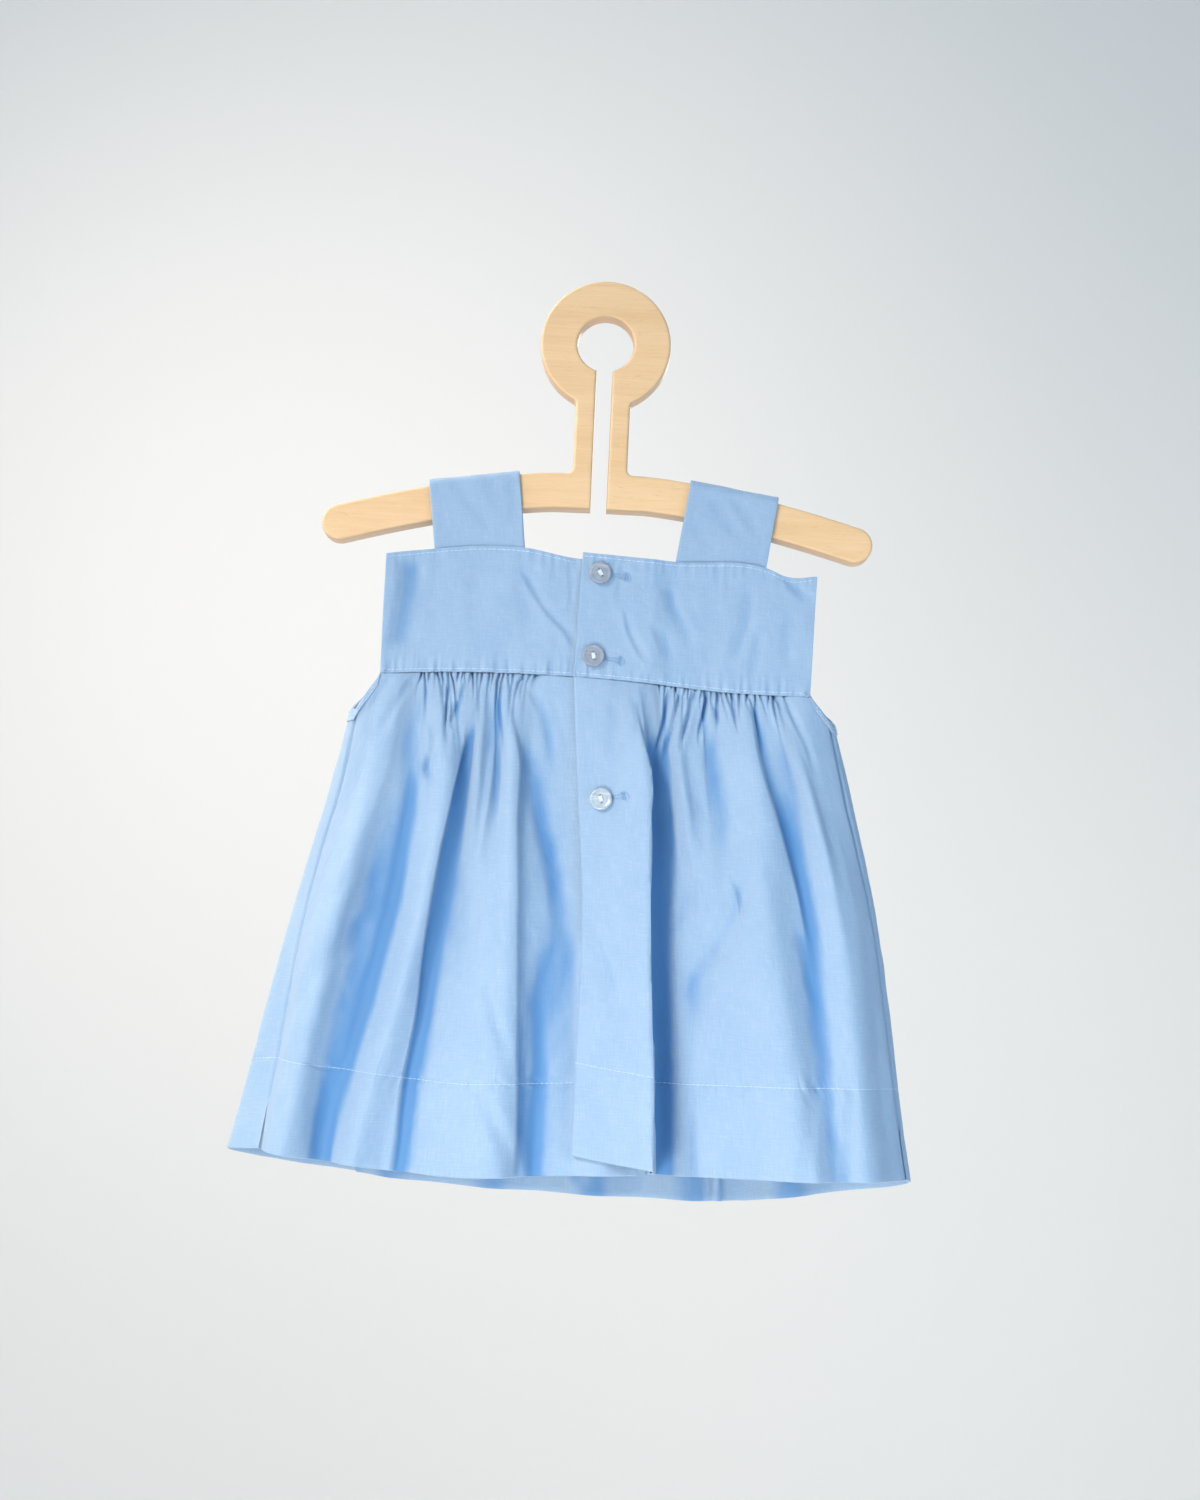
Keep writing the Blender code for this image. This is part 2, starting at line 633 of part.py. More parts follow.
make_hanger(wood)
for yoke in YOKES:
    make_yoke(yoke, poplin)
for strap in STRAPS:
    make_strap(strap, poplin)
for panel in PANELS:
    make_skirt_panel(panel, poplin)
for panel in BINDINGS:
    make_binding(panel, poplin)
for button in BUTTONS:
    make_button(button, shell)
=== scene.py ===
import functools
import math
import random
from collections import namedtuple

import bmesh
import bpy
from mathutils import Matrix, Vector, noise


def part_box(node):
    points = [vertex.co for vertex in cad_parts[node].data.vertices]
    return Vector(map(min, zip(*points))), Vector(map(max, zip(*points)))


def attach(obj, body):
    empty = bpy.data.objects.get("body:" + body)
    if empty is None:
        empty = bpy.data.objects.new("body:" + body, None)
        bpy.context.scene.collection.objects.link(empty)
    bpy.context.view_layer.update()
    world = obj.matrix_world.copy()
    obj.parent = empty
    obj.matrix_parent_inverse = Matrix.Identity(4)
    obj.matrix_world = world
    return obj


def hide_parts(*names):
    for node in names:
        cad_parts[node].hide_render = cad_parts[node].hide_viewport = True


# A child's sleeveless cotton tunic on its wooden hanger.
# The tables hold millimetres: x to the right, y to the back, depth down from the top of the eye.
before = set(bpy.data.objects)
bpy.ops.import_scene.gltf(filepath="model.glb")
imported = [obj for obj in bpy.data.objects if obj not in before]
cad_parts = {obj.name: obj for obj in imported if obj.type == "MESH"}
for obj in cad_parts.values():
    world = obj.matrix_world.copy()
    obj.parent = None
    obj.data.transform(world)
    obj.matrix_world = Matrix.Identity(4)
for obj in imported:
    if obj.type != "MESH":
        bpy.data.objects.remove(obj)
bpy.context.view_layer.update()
MM = 0.001


# The view
# The camera stands before the tunic, a little below the yoke. It is tipped up, and rolled so that
# the hanger, which hangs plumb, leans in the picture.
LENS = 50.0
CAMERA_PLACE = (0.0067, -1.0765, -0.3634)
CAMERA_TIP = math.radians(7.0)
CAMERA_ROLL = math.radians(2.6)


def new_object(name, data):
    """An object in the scene, at the origin."""
    thing = bpy.data.objects.new(name, data)
    bpy.context.scene.collection.objects.link(thing)
    return thing


lens = bpy.data.cameras.new("camera")
lens.lens = LENS
camera = new_object("camera", lens)
tip = Matrix.Rotation(math.radians(90) + CAMERA_TIP, 4, "X")
camera.matrix_world = Matrix.Translation(CAMERA_PLACE) @ tip @ Matrix.Rotation(CAMERA_ROLL, 4, "Z")
bpy.context.scene.camera = camera


# Hanger
# One board of pale birch, sawn out with a ring, an eye and a slot that opens at the neck's foot.
# Its rims are rounded over and it has a thin satin lacquer. It hangs by the eye and carries the tunic.
HANGER_THICKNESS = 12.0
HANGER_EDGE_ROUND = 1.5
RING_RADIUS = 34.6
EYE_RADIUS = 15.0
SLOT_HALF_WIDTH = 4.2
NECK_HALF_WIDTH = 14.4
NECK_FILLET = 3.2
ARM_HALF_HEIGHT = 9.5
ARM_AXIS_DEPTH = 95.2
ARM_LEVEL_TO = 20.0
ARM_DROOP = 0.0181
ARM_END = 135.2
ARM_FIRST_STATION = 24.0
ARM_STATIONS = 34
ARC_STEP = 4.0
RIM_SEGMENTS = 5
FACE_MARGIN = 0.3
SHORT_EDGE = 0.08
WOOD_LIGHT = (0.82, 0.56, 0.32, 1.0)
WOOD_DARK = (0.70, 0.44, 0.215, 1.0)
WOOD_PORE = (0.52, 0.29, 0.13, 1.0)
# A darker brown, painted on the board's sides and rims as shade.
WOOD_SIDE_SHADE = (0.50, 0.315, 0.20, 1.0)
WOOD_RINGS = (9, 60, 105)
WOOD_FIBRES = (45, 400, 900)
WOOD_PORES = (150, 900, 2600)
WOOD_RELIEF = 0.00012


class Field:
    """A value that varies over a surface. Arithmetic on it adds Math nodes to its finish."""

    def __init__(self, finish, socket):
        self.finish = finish
        self.socket = socket

    def math(self, operation, *values):
        inputs = dict(enumerate(values))
        return self.finish.node("ShaderNodeMath", {"operation": operation}, inputs)

    def __add__(self, other):
        return self.math("ADD", self, other)

    def __radd__(self, other):
        return self.math("ADD", other, self)

    def __sub__(self, other):
        return self.math("SUBTRACT", self, other)

    def __rsub__(self, other):
        return self.math("SUBTRACT", other, self)

    def __mul__(self, other):
        return self.math("MULTIPLY", self, other)

    def __rmul__(self, other):
        return self.math("MULTIPLY", other, self)

    def of(self, operation):
        """A value worked out from this one alone, such as its sine."""
        return self.math(operation, self)

    def step(self, low, high):
        """0 where this is under low, 1 where it is over high, and an even S between them."""
        settings = {"interpolation_type": "SMOOTHSTEP"}
        inputs = {"Value": self, "From Min": low, "From Max": high}
        return self.finish.node("ShaderNodeMapRange", settings, inputs)


class Finish:
    """A material with one Principled surface. Constants go straight on the surface's sockets."""

    def __init__(self, name, **constants):
        self.material = bpy.data.materials.new(name)
        self.material.use_nodes = True
        self.tree = self.material.node_tree
        self.surface = self.tree.nodes["Principled BSDF"]
        for name, value in constants.items():
            self.surface.inputs[name.replace("_", " ").title()].default_value = value

    def node(self, kind, settings, inputs, output=0):
        """Any node by its type: its settings first, then the values or the links of its sockets."""
        made = self.tree.nodes.new(kind)
        for name, value in settings.items():
            setattr(made, name, value)
        for key, value in inputs.items():
            if isinstance(value, Field):
                self.tree.links.new(value.socket, made.inputs[key])
            else:
                made.inputs[key].default_value = value
        return Field(self, made.outputs[output])

    def place(self):
        """Where a point of the piece is, in metres."""
        return self.node("ShaderNodeTexCoord", {}, {}, "Object")

    def mix(self, share, first, second):
        """From the first colour to the second by the share."""
        inputs = {"Factor": share, "A": first, "B": second}
        made = self.tree.nodes.new("ShaderNodeMix")
        made.data_type = "RGBA"
        sockets = {s.name: s for s in made.inputs if s.enabled}
        for name, value in inputs.items():
            if isinstance(value, Field):
                self.tree.links.new(value.socket, sockets[name])
            else:
                sockets[name].default_value = value
        return Field(self, next(s for s in made.outputs if s.enabled))

    def noise(self, place, stretch, detail=3.0, roughness=0.55):
        """Smooth random values from 0 to 1, about 0.5, with so many features in a metre each way."""
        mapped = self.node("ShaderNodeMapping", {}, {"Vector": place, "Scale": stretch})
        inputs = {"Vector": mapped, "Scale": 1.0, "Detail": detail, "Roughness": roughness}
        return self.node("ShaderNodeTexNoise", {}, inputs)

    def bump(self, height, distance, below=None):
        """Relief of that height in metres, on top of other relief."""
        inputs = {"Height": height, "Distance": distance}
        if below is not None:
            inputs["Normal"] = below
        return self.node("ShaderNodeBump", {}, inputs)

    def wear(self, **links):
        """Feeds the surface's sockets with what varies over it."""
        for name, value in links.items():
            self.tree.links.new(value.socket, self.surface.inputs[name.replace("_", " ").title()])


def mesh_from(bm, name):
    """The mesh of a finished bmesh, which is freed."""
    mesh = bpy.data.meshes.new(name)
    bm.to_mesh(mesh)
    bm.free()
    return mesh


def put_in_scene(name, mesh, material):
    """Makes a finished mesh an object at the origin that rides with the part."""
    mesh.materials.append(material)
    mesh.shade_smooth()
    thing = new_object(name, mesh)
    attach(thing, "root")
    return thing


def arc(x, depth, radius, start, end):
    """Points on an arc. An angle is measured from straight up, towards +x."""
    steps = max(2, round(abs(end - start) / ARC_STEP))
    angles = [math.radians(start + (end - start) * k / steps) for k in range(steps + 1)]
    return [(x + radius * math.sin(a), depth - radius * math.cos(a)) for a in angles]


def arm_axis(x):
    """Depth of the arm's middle line, which is level near the neck and then droops."""
    return ARM_AXIS_DEPTH + ARM_DROOP * max(0.0, abs(x) - ARM_LEVEL_TO) ** 1.5


def arm_edge(x, side):
    """A point on the arm's upper (side -1) or lower (side 1) edge, square to its middle line."""
    step = 0.5
    lean = math.atan((arm_axis(x + step) - arm_axis(x - step)) / (2 * step))
    across = side * ARM_HALF_HEIGHT
    return x - across * math.sin(lean), arm_axis(x) + across * math.cos(lean)


def hanger_half_outline():
    """The hanger's right half, from the top of the ring round to the top of the eye."""
    fillet_x = NECK_HALF_WIDTH + NECK_FILLET
    reach = RING_RADIUS + NECK_FILLET
    meets = 180 - math.degrees(math.asin(fillet_x / reach))
    fillet_depth = EYE_RADIUS + math.sqrt(reach**2 - fillet_x**2)
    points = arc(0, EYE_RADIUS, RING_RADIUS, 0, meets)
    points += arc(fillet_x, fillet_depth, NECK_FILLET, meets - 180, -90)[1:]
    shoulder = ARM_AXIS_DEPTH - ARM_HALF_HEIGHT - NECK_FILLET
    points += arc(fillet_x, shoulder, NECK_FILLET, -90, -180)
    step = (ARM_END - ARM_FIRST_STATION) / ARM_STATIONS
    stations = [ARM_FIRST_STATION + step * k for k in range(ARM_STATIONS)]
    points += [arm_edge(x, -1) for x in stations]
    lean = math.degrees(math.atan(1.5 * ARM_DROOP * (ARM_END - ARM_LEVEL_TO) ** 0.5))
    points += arc(ARM_END, arm_axis(ARM_END), ARM_HALF_HEIGHT, lean, lean + 180)
    points += [arm_edge(x, 1) for x in reversed(stations)]
    points.append((SLOT_HALF_WIDTH, ARM_AXIS_DEPTH + ARM_HALF_HEIGHT))
    slot_angle = 180 - math.degrees(math.asin(SLOT_HALF_WIDTH / EYE_RADIUS))
    points += arc(0, EYE_RADIUS, EYE_RADIUS, slot_angle, 0)
    return points


half = hanger_half_outline()
outline = half + [(-x, depth) for x, depth in reversed(half[1:-1])]
bm = bmesh.new()
face = bm.faces.new([bm.verts.new(Vector((x, -HANGER_THICKNESS / 2, -d)) * MM) for x, d in outline])
made = bmesh.ops.extrude_face_region(bm, geom=[face], use_keep_orig=True)
moved = [v for v in made["geom"] if isinstance(v, bmesh.types.BMVert)]
bmesh.ops.translate(bm, verts=moved, vec=(0, HANGER_THICKNESS * MM, 0))
bm.normal_update()
rims = [e for e in bm.edges if abs(e.verts[0].co.y - e.verts[1].co.y) < MM / 10]
bmesh.ops.bevel(
    bm,
    geom=rims,
    offset=HANGER_EDGE_ROUND * MM,
    segments=RIM_SEGMENTS,
    profile=0.5,
    material=-1,
    affect="EDGES",
)
bmesh.ops.remove_doubles(bm, verts=bm.verts[:], dist=SHORT_EDGE * MM)
bmesh.ops.recalc_face_normals(bm, faces=bm.faces[:])
for broad in [f for f in bm.faces if len(f.verts) > 4]:
    bmesh.ops.inset_individual(bm, faces=[broad], thickness=FACE_MARGIN * MM, use_even_offset=True)

birch = Finish("lacquered_birch", roughness=0.42, coat_weight=0.25, coat_roughness=0.3)
rings = birch.noise(birch.place(), WOOD_RINGS, 4.0)
fibres = birch.noise(birch.place(), WOOD_FIBRES, 5.0, 0.65)
pores = birch.noise(birch.place(), WOOD_PORES, 2.0).step(0.64, 0.74)
# Painted shade: where the surface turns from the broad faces to the sides and rims, the wood is coloured
# darker.
facing = birch.node("ShaderNodeNewGeometry", {}, {}, "Normal")
facing_y = birch.node("ShaderNodeSeparateXYZ", {}, {0: facing}, "Y")
side = 1 - facing_y.of("ABSOLUTE").step(0.35, 0.93)
grain = rings.step(0.3, 0.7) * 0.45 + fibres.step(0.25, 0.8) * 0.4
shade = birch.mix(grain, WOOD_LIGHT, WOOD_DARK)
shade = birch.mix(pores * 0.35, shade, WOOD_PORE)
shade = birch.mix(side * (0.5 + 0.3 * fibres), shade, WOOD_SIDE_SHADE)
birch.wear(
    base_color=shade,
    roughness=0.36 + 0.16 * fibres,
    normal=birch.bump(fibres + pores * -0.5, WOOD_RELIEF),
)
board = put_in_scene("hanger_board", mesh_from(bm, "hanger_board"), birch.material)
board.data.set_sharp_from_angle(angle=math.radians(50))
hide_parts("hanger")


# Yokes
# Two flat front yokes and a back one in light blue cotton poplin, each a doubled rectangle with
# turned edges. The right front laps over the left one. Puckers stand along the sewn edges.
CLOTH = 1.5
GAP = 0.3
YOKE_THICKNESS = 0.85
EDGE_ROUND = 0.4
EDGE_ANGLE = math.radians(70)
YOKE_FRONT_Y = -9.5
LAP_FRONT_Y = -11.7
YOKE_BACK_Y = 8.5
LAP_BLEND = (30.0, 41.0)
YOKE_EDGE_CURL = 3.2
YOKE_CURL_WIDTH = 24.0
YOKE_COLUMN = 0.9
YOKE_ROWS = 44
PUCKER_SPACING = 2.1
PUCKER_LENGTH = 7.5
PUCKER_DEPTH = 0.95
PUCKER_TOP_SHARE = 0.45
YOKE_WAVE = 0.5
YOKE_WRINKLE = 0.16
# The reaches over which hollows in the cloth are measured. A deeper blue is painted into those hollows as
# shade.
HOLLOW_REACH = 6.0
WIDE_HOLLOW_REACH = 20.0
WIDE_HOLLOW_SHARE = 0.3
ALLOWANCE = 9.0
ALLOWANCE_STEP = 0.22
THREAD_SPACING = 0.56
COTTON_LIGHT = (0.29, 0.43, 0.60, 1.0)
COTTON_DEEP = (0.235, 0.375, 0.565, 1.0)
COTTON_SLUB = (0.40, 0.52, 0.68, 1.0)
# The deeper blue painted into the hollows of the folds as shade, and how deep a hollow must be for it.
COTTON_HOLLOW_SHADE = (0.058, 0.22, 0.49, 1.0)
COTTON_CLOUD = (38, 30, 1)
COTTON_CRUSH = (150, 110, 1)
SLUB_DOWN = (1500, 120, 1)
SLUB_ACROSS = (120, 1500, 1)
HOLLOW_SHADE_RANGE = (0.4, 4.4)
HOLLOW_SHADE_SHARE = 0.92

Edge = namedtuple("Edge", "x depth")


def cut_edge(*points):
    """An edge of the cloth through points of (x, depth)."""
    return [Edge(*point) for point in points]


YOKE_TOP_LEFT = cut_edge((-109.0, 134.9), (-84.1, 130.6), (-37.2, 127.9), (-10.8, 132.3), (25.0, 131.5))
YOKE_TOP_RIGHT = cut_edge((-6.8, 129.4), (41.4, 131.9), (88.9, 132.9), (101.6, 137.5), (115.7, 136.3))
YOKE_TOP_BACK = cut_edge(
    (-108.5, 136.5), (-84.1, 132.6), (-37.2, 130.4), (2.0, 134.5), (41.4, 133.4), (88.9, 134.6),
    (114.5, 138.2),
)
YOKE_SEAM = cut_edge(
    (-109.0, 197.4), (-72.8, 195.2), (-7.9, 194.8), (31.0, 196.8), (77.8, 199.8), (114.2, 199.7),
)
Yoke = namedtuple("Yoke", "name top_edge left_top left_foot right_top right_foot seed")
YOKES = [
    Yoke("yoke_front_left", YOKE_TOP_LEFT, -109.0, -109.0, 25.0, 24.0, 20),
    Yoke("yoke_front_right", YOKE_TOP_RIGHT, -6.8, -8.5, 115.7, 114.2, 21),
    Yoke("yoke_back", YOKE_TOP_BACK, 114.5, 114.0, -108.5, -108.5, 16),
]

# A crease presses into the cloth along a path of (x, depth). Its left and right banks have their
# own widths, and a negative depth makes it a ridge. One with an edge is a fold: the cloth rises on
# its left to a crisp ridge, drops over the edge's width, and comes back over the right bank's.
# It keeps its full depth over that share of its length, and its widths may grow towards its foot.
Crease = namedtuple("Crease", "path left right depth rise edge keep grow", defaults=(0.0, 0.0, 0.6, 1.0))
YOKE_FRONT_CREASES = [
    Crease(((-98, 133), (-97, 150), (-99, 168), (-102, 188)), 7.0, 12.0, 2.4, keep=0.8),
    Crease(((-78, 133), (-84, 150), (-90, 172)), 6.0, 8.0, 0.7),
    Crease(((-41, 139), (-33, 152), (-25, 163), (-15, 173), (-11, 182)), 6.0, 5.0, 0.7, 0.6, 2.2, 0.8),
    Crease(((-36, 132), (-35, 150), (-31, 170), (-28, 190)), 9.0, 9.0, 0.8),
    Crease(((-64, 140), (-60, 158), (-63, 180)), 8.0, 10.0, 0.5),
    Crease(((-14, 134), (-12, 150), (-13, 165)), 2.0, 3.0, 0.5),
    Crease(((14, 134), (13, 145), (12, 156)), 2.0, 3.0, 0.7),
    Crease(((15, 159), (17, 169), (22, 179), (28, 188)), 4.0, 5.0, 0.7, 0.4, 1.6, 0.7),
    Crease(((31, 164), (36, 174), (40, 187)), 4.0, 6.0, 0.8),
    Crease(((37, 143), (42, 158), (48, 169), (53, 182)), 5.0, 6.0, 0.9),
    Crease(((60, 139), (62, 155), (68, 170)), 7.0, 7.0, 0.6),
    Crease(((82, 142), (79, 166), (74, 182), (71, 194)), 6.0, 5.0, 1.0),
    Crease(((96, 134), (103, 142), (112, 151)), 3.0, 6.0, 1.3),
    Crease(((88, 166), (86, 180), (82, 195)), 5.0, 4.0, 0.7),
    Crease(((104, 155), (101, 172), (104, 190)), 5.0, 6.0, 0.6),
]
YOKE_BACK_CREASES = [
    Crease(((-96, 140), (-94, 158), (-98, 186)), 8.0, 12.0, 1.3),
    Crease(((-84, 142), (-76, 160), (-64, 182)), 6.0, 7.0, 0.8, 0.4, 2.0),
    Crease(((-30, 138), (-35, 160), (-28, 186)), 8.0, 8.0, 0.8),
    Crease(((-4, 142), (4, 160), (2, 184)), 6.0, 9.0, 0.6),
    Crease(((14, 142), (22, 158), (25, 180)), 6.0, 7.0, 0.7, 0.3, 1.8),
    Crease(((60, 140), (52, 164), (56, 190)), 7.0, 8.0, 0.8),
    Crease(((94, 145), (88, 160), (90, 186)), 6.0, 8.0, 1.0),
]


def blend(low, high, value):
    """0 below low, 1 above high, and an even S between them."""
    t = min(1.0, max(0.0, (value - low) / (high - low)))
    return t * t * (3 - 2 * t)


def slope_at(knots, values, k):
    """The slope of a smooth curve through the values at knot k."""
    last = len(knots) - 1
    before = max(k - 1, 0)
    after = min(k + 1, last)
    if k in (0, last):
        return (values[after] - values[before]) / (knots[after] - knots[before])
    span_left = knots[k] - knots[before]
    span_right = knots[after] - knots[k]
    left = (values[k] - values[before]) / span_left
    right = (values[after] - values[k]) / span_right
    return (left * span_right + right * span_left) / (span_left + span_right)


def hermite(a, b, slope_a, slope_b, span, t):
    """A cubic from a to b that leaves and arrives with the given slopes."""
    return (
        (2 * t**3 - 3 * t**2 + 1) * a
        + (t**3 - 2 * t**2 + t) * span * slope_a
        + (3 * t**2 - 2 * t**3) * b
        + (t**3 - t**2) * span * slope_b
    )


def smooth_through(knots, values, at):
    """A smooth curve through the values, straight on past both ends."""
    last = len(knots) - 1
    if at <= knots[0]:
        return values[0] + (at - knots[0]) * slope_at(knots, values, 0)
    if at >= knots[last]:
        return values[last] + (at - knots[last]) * slope_at(knots, values, last)
    k = max(n for n in range(last) if knots[n] <= at)
    span = knots[k + 1] - knots[k]
    a = slope_at(knots, values, k)
    b = slope_at(knots, values, k + 1)
    return hermite(values[k], values[k + 1], a, b, span, (at - knots[k]) / span)


def edge_depth(edge, x):
    """The depth of an edge at x, level past its ends."""
    inside = min(max(x, edge[0].x), edge[-1].x)
    return smooth_through([p.x for p in edge], [p.depth for p in edge], inside)


def rough(x, spacing, seed):
    """Smooth random values from about -1 to 1 along a line."""
    return 1.6 * noise.noise((x / spacing, seed, 0.5))


@functools.cache
def path_x(path, quarters):
    """Where a crease's path is, for a depth in quarters of a millimetre."""
    return smooth_through([p[1] for p in path], [p[0] for p in path], quarters / 4)


def press_of(crease, x, depth):
    """How deep one crease presses in at a place. It fades out towards both ends of its path."""
    top = crease.path[0][1]
    foot = crease.path[-1][1]
    if not top < depth < foot:
        return 0.0
    quarters = math.floor(depth * 4)
    here = path_x(crease.path, quarters)
    lean = path_x(crease.path, quarters + 4) - here
    away = (x - here - lean * (depth - quarters / 4)) / math.hypot(1, lean)
    share = (depth - top) / (foot - top)
    away /= 1 + (crease.grow - 1) * share
    if not -crease.left < away < crease.edge + crease.right:
        return 0.0
    ends = blend(0.0, 0.16, share)
    if crease.keep < 1:
        ends *= 1 - blend(crease.keep, 1.0, share)
    if not crease.edge:
        width = crease.left if away < 0 else crease.right
        return crease.depth * ends * (1 - (away / width) ** 2) ** 2
    if away < 0:
        return -crease.rise * ends * blend(-crease.left, 0.0, away)
    drop = blend(0.0, crease.edge, away)
    back = 1 - blend(crease.edge, crease.edge + crease.right, away)
    return ends * (crease.depth * drop * back - crease.rise * (1 - drop))


def press_of_all(creases, x, depth):
    """How deep a list of creases presses in at a place."""
    return sum(press_of(crease, x, depth) for crease in creases)


def steps(low, high, size):
    """Even values from low to high, about that size apart."""
    count = max(1, round(abs(high - low) / size))
    return [low + (high - low) * k / count for k in range(count + 1)]


def lengths_along(row):
    """How far along a row of points each one lies."""
    lengths = [0.0]
    for a, b in zip(row, row[1:]):
        lengths.append(lengths[-1] + (b - a).length)
    return lengths


def hollows_of(row, reach):
    """How far each place of a row of points lies behind a straight line between places that far off."""
    lengths = lengths_along(row)
    found = []
    before = 0
    after = 0
    for k, at in enumerate(lengths):
        while lengths[before + 1] < at - reach:
            before += 1
        while after < len(row) - 1 and lengths[after] < at + reach:
            after += 1
        chord = row[after] - row[before]
        share = (at - lengths[before]) / max(lengths[after] - lengths[before], reach)
        out = Vector((chord.y, -chord.x, 0)).normalized()
        found.append((row[before].lerp(row[after], share) - row[k]).dot(out))
    return found


def cloth_sheet(name, across, down, point, flat, thickness):
    """A sheet from a grid: point(a, d) is a place in mm for each value across and down it.
    flat(a, d) is the same place on the flat cloth in mm, kept in a UV map in metres."""
    places = [[Vector(point(a, d)) for a in across] for d in down]
    # How deep each place lies in a hollow, kept on the sheet so that the cotton can paint shade into its
    # folds.
    hollows = []
    for row in places:
        pairs = zip(hollows_of(row, HOLLOW_REACH), hollows_of(row, WIDE_HOLLOW_REACH))
        hollows.append([near + WIDE_HOLLOW_SHARE * far for near, far in pairs])
    bm = bmesh.new()
    columns = len(across) - 1
    rows = len(down) - 1
    bmesh.ops.create_grid(bm, x_segments=columns, y_segments=rows, size=0.5)
    weave = bm.loops.layers.uv.new("cloth")
    hollow = bm.verts.layers.float.new("hollow")
    for v in bm.verts:
        column = round((v.co.x + 0.5) * columns)
        row = round((v.co.y + 0.5) * rows)
        v.co = places[row][column] * MM
        v[hollow] = hollows[row][column]
        for loop in v.link_loops:
            loop[weave].uv = Vector(flat(across[column], down[row])) * MM
    bmesh.ops.reverse_faces(bm, faces=bm.faces[:])
    sheet = put_in_scene(name, mesh_from(bm, name), cotton.material)
    wall = sheet.modifiers.new("thickness", "SOLIDIFY")
    wall.thickness = thickness * MM
    wall.offset = -1
    rims = sheet.modifiers.new("turned edges", "BEVEL")
    rims.width = min(EDGE_ROUND, thickness * 0.45) * MM
    rims.segments = 3
    rims.limit_method = "ANGLE"
    rims.angle_limit = EDGE_ANGLE
    return sheet


def outward(point, a, d, step_a, step_d):
    """The direction out of a sheet at a place."""
    run = Vector(point(a + step_a, d)) - Vector(point(a - step_a, d))
    drop = Vector(point(a, d + step_d)) - Vector(point(a, d - step_d))
    return drop.cross(run).normalized()


def yoke_y(yoke, x, depth):
    """How far back the yoke's middle layer lies."""
    if yoke.name == "yoke_back":
        return YOKE_BACK_Y
    if yoke.name == "yoke_front_right":
        return LAP_FRONT_Y + (YOKE_FRONT_Y - LAP_FRONT_Y) * blend(*LAP_BLEND, x)
    above_seam = blend(0, 40, edge_depth(YOKE_SEAM, x) - depth)
    curl = 1 - blend(0, YOKE_CURL_WIDTH, x - yoke.left_top)
    return YOKE_FRONT_Y - YOKE_EDGE_CURL * curl * above_seam


def yoke_press(yoke, x, below_top, above_foot):
    """Puckers beside the sewn edges, the edge of the cloth turned in there, and soft unevenness."""
    top_length = PUCKER_LENGTH * (1 + 0.5 * rough(x, 11, yoke.seed + 5))
    foot_length = PUCKER_LENGTH * (0.8 + 0.4 * rough(x, 9, yoke.seed + 6))
    top = PUCKER_TOP_SHARE * rough(x, PUCKER_SPACING * 1.2, yoke.seed)
    top *= math.exp(-((below_top / top_length) ** 2))
    foot = rough(x, PUCKER_SPACING, yoke.seed + 2) * math.exp(-((above_foot / foot_length) ** 2))
    turned = blend(ALLOWANCE - 1, ALLOWANCE + 1, below_top)
    turned += blend(ALLOWANCE - 1, ALLOWANCE + 1, above_foot)
    return PUCKER_DEPTH * (top + foot) + ALLOWANCE_STEP * (turned - 1)


def yoke_place(yoke, across, down):
    """A point on the yoke's outside, for shares of its width and height."""
    x_top = yoke.left_top + (yoke.right_top - yoke.left_top) * across
    x_foot = yoke.left_foot + (yoke.right_foot - yoke.left_foot) * across
    top = edge_depth(yoke.top_edge, x_top)
    foot = edge_depth(YOKE_SEAM, x_foot)
    x = x_top + (x_foot - x_top) * down
    depth = top + (foot - top) * down
    outwards = 1 if yoke.name == "yoke_back" else -1
    creases = YOKE_BACK_CREASES if outwards > 0 else YOKE_FRONT_CREASES
    press = yoke_press(yoke, x, depth - top, foot - depth) + press_of_all(creases, x, depth)
    wave = YOKE_WAVE * noise.noise((x / 17, depth / 21, outwards))
    press += wave + YOKE_WRINKLE * noise.noise((x / 6, depth / 7, 3))
    press *= blend(0, 3, min(depth - top + 1.5, foot - depth + 1.5))
    return Vector((x, yoke_y(yoke, x, depth) + outwards * (CLOTH / 2 - press), -depth))


cotton = Finish("blue_cotton_poplin", roughness=0.56, sheen_weight=0.28, sheen_roughness=0.5)
flat_place = cotton.node("ShaderNodeUVMap", {"uv_map": "cloth"}, {})
warp = cotton.node("ShaderNodeSeparateXYZ", {}, {0: flat_place}, "X")
weft = cotton.node("ShaderNodeSeparateXYZ", {}, {0: flat_place}, "Y")
turns = math.tau / (THREAD_SPACING * MM)
weave = (warp * turns).of("SINE") * (weft * turns).of("SINE")
slubs = cotton.noise(flat_place, SLUB_DOWN, 2.0) + cotton.noise(flat_place, SLUB_ACROSS, 2.0)
cloud = cotton.noise(flat_place, COTTON_CLOUD, 3.0)
crush = cotton.noise(flat_place, COTTON_CRUSH, 3.0, 0.6)
tone = cotton.mix(0.25 + 0.4 * cloud.step(0.3, 0.7), COTTON_LIGHT, COTTON_DEEP)
tone = cotton.mix((slubs - 0.75).step(0.1, 0.6) * 0.4 + 0.07 * weave, tone, COTTON_SLUB)
# Painted shade: the cotton turns a deeper blue in the hollows of its folds, by how deep they are.
hollow = cotton.node("ShaderNodeAttribute", {"attribute_name": "hollow"}, {}, "Fac")
tone = cotton.mix(hollow.step(*HOLLOW_SHADE_RANGE) * HOLLOW_SHADE_SHARE, tone, COTTON_HOLLOW_SHADE)
cotton.wear(
    base_color=tone,
    normal=cotton.bump(weave, 0.00004, cotton.bump(slubs, 0.00006, cotton.bump(crush, 0.0004))),
)

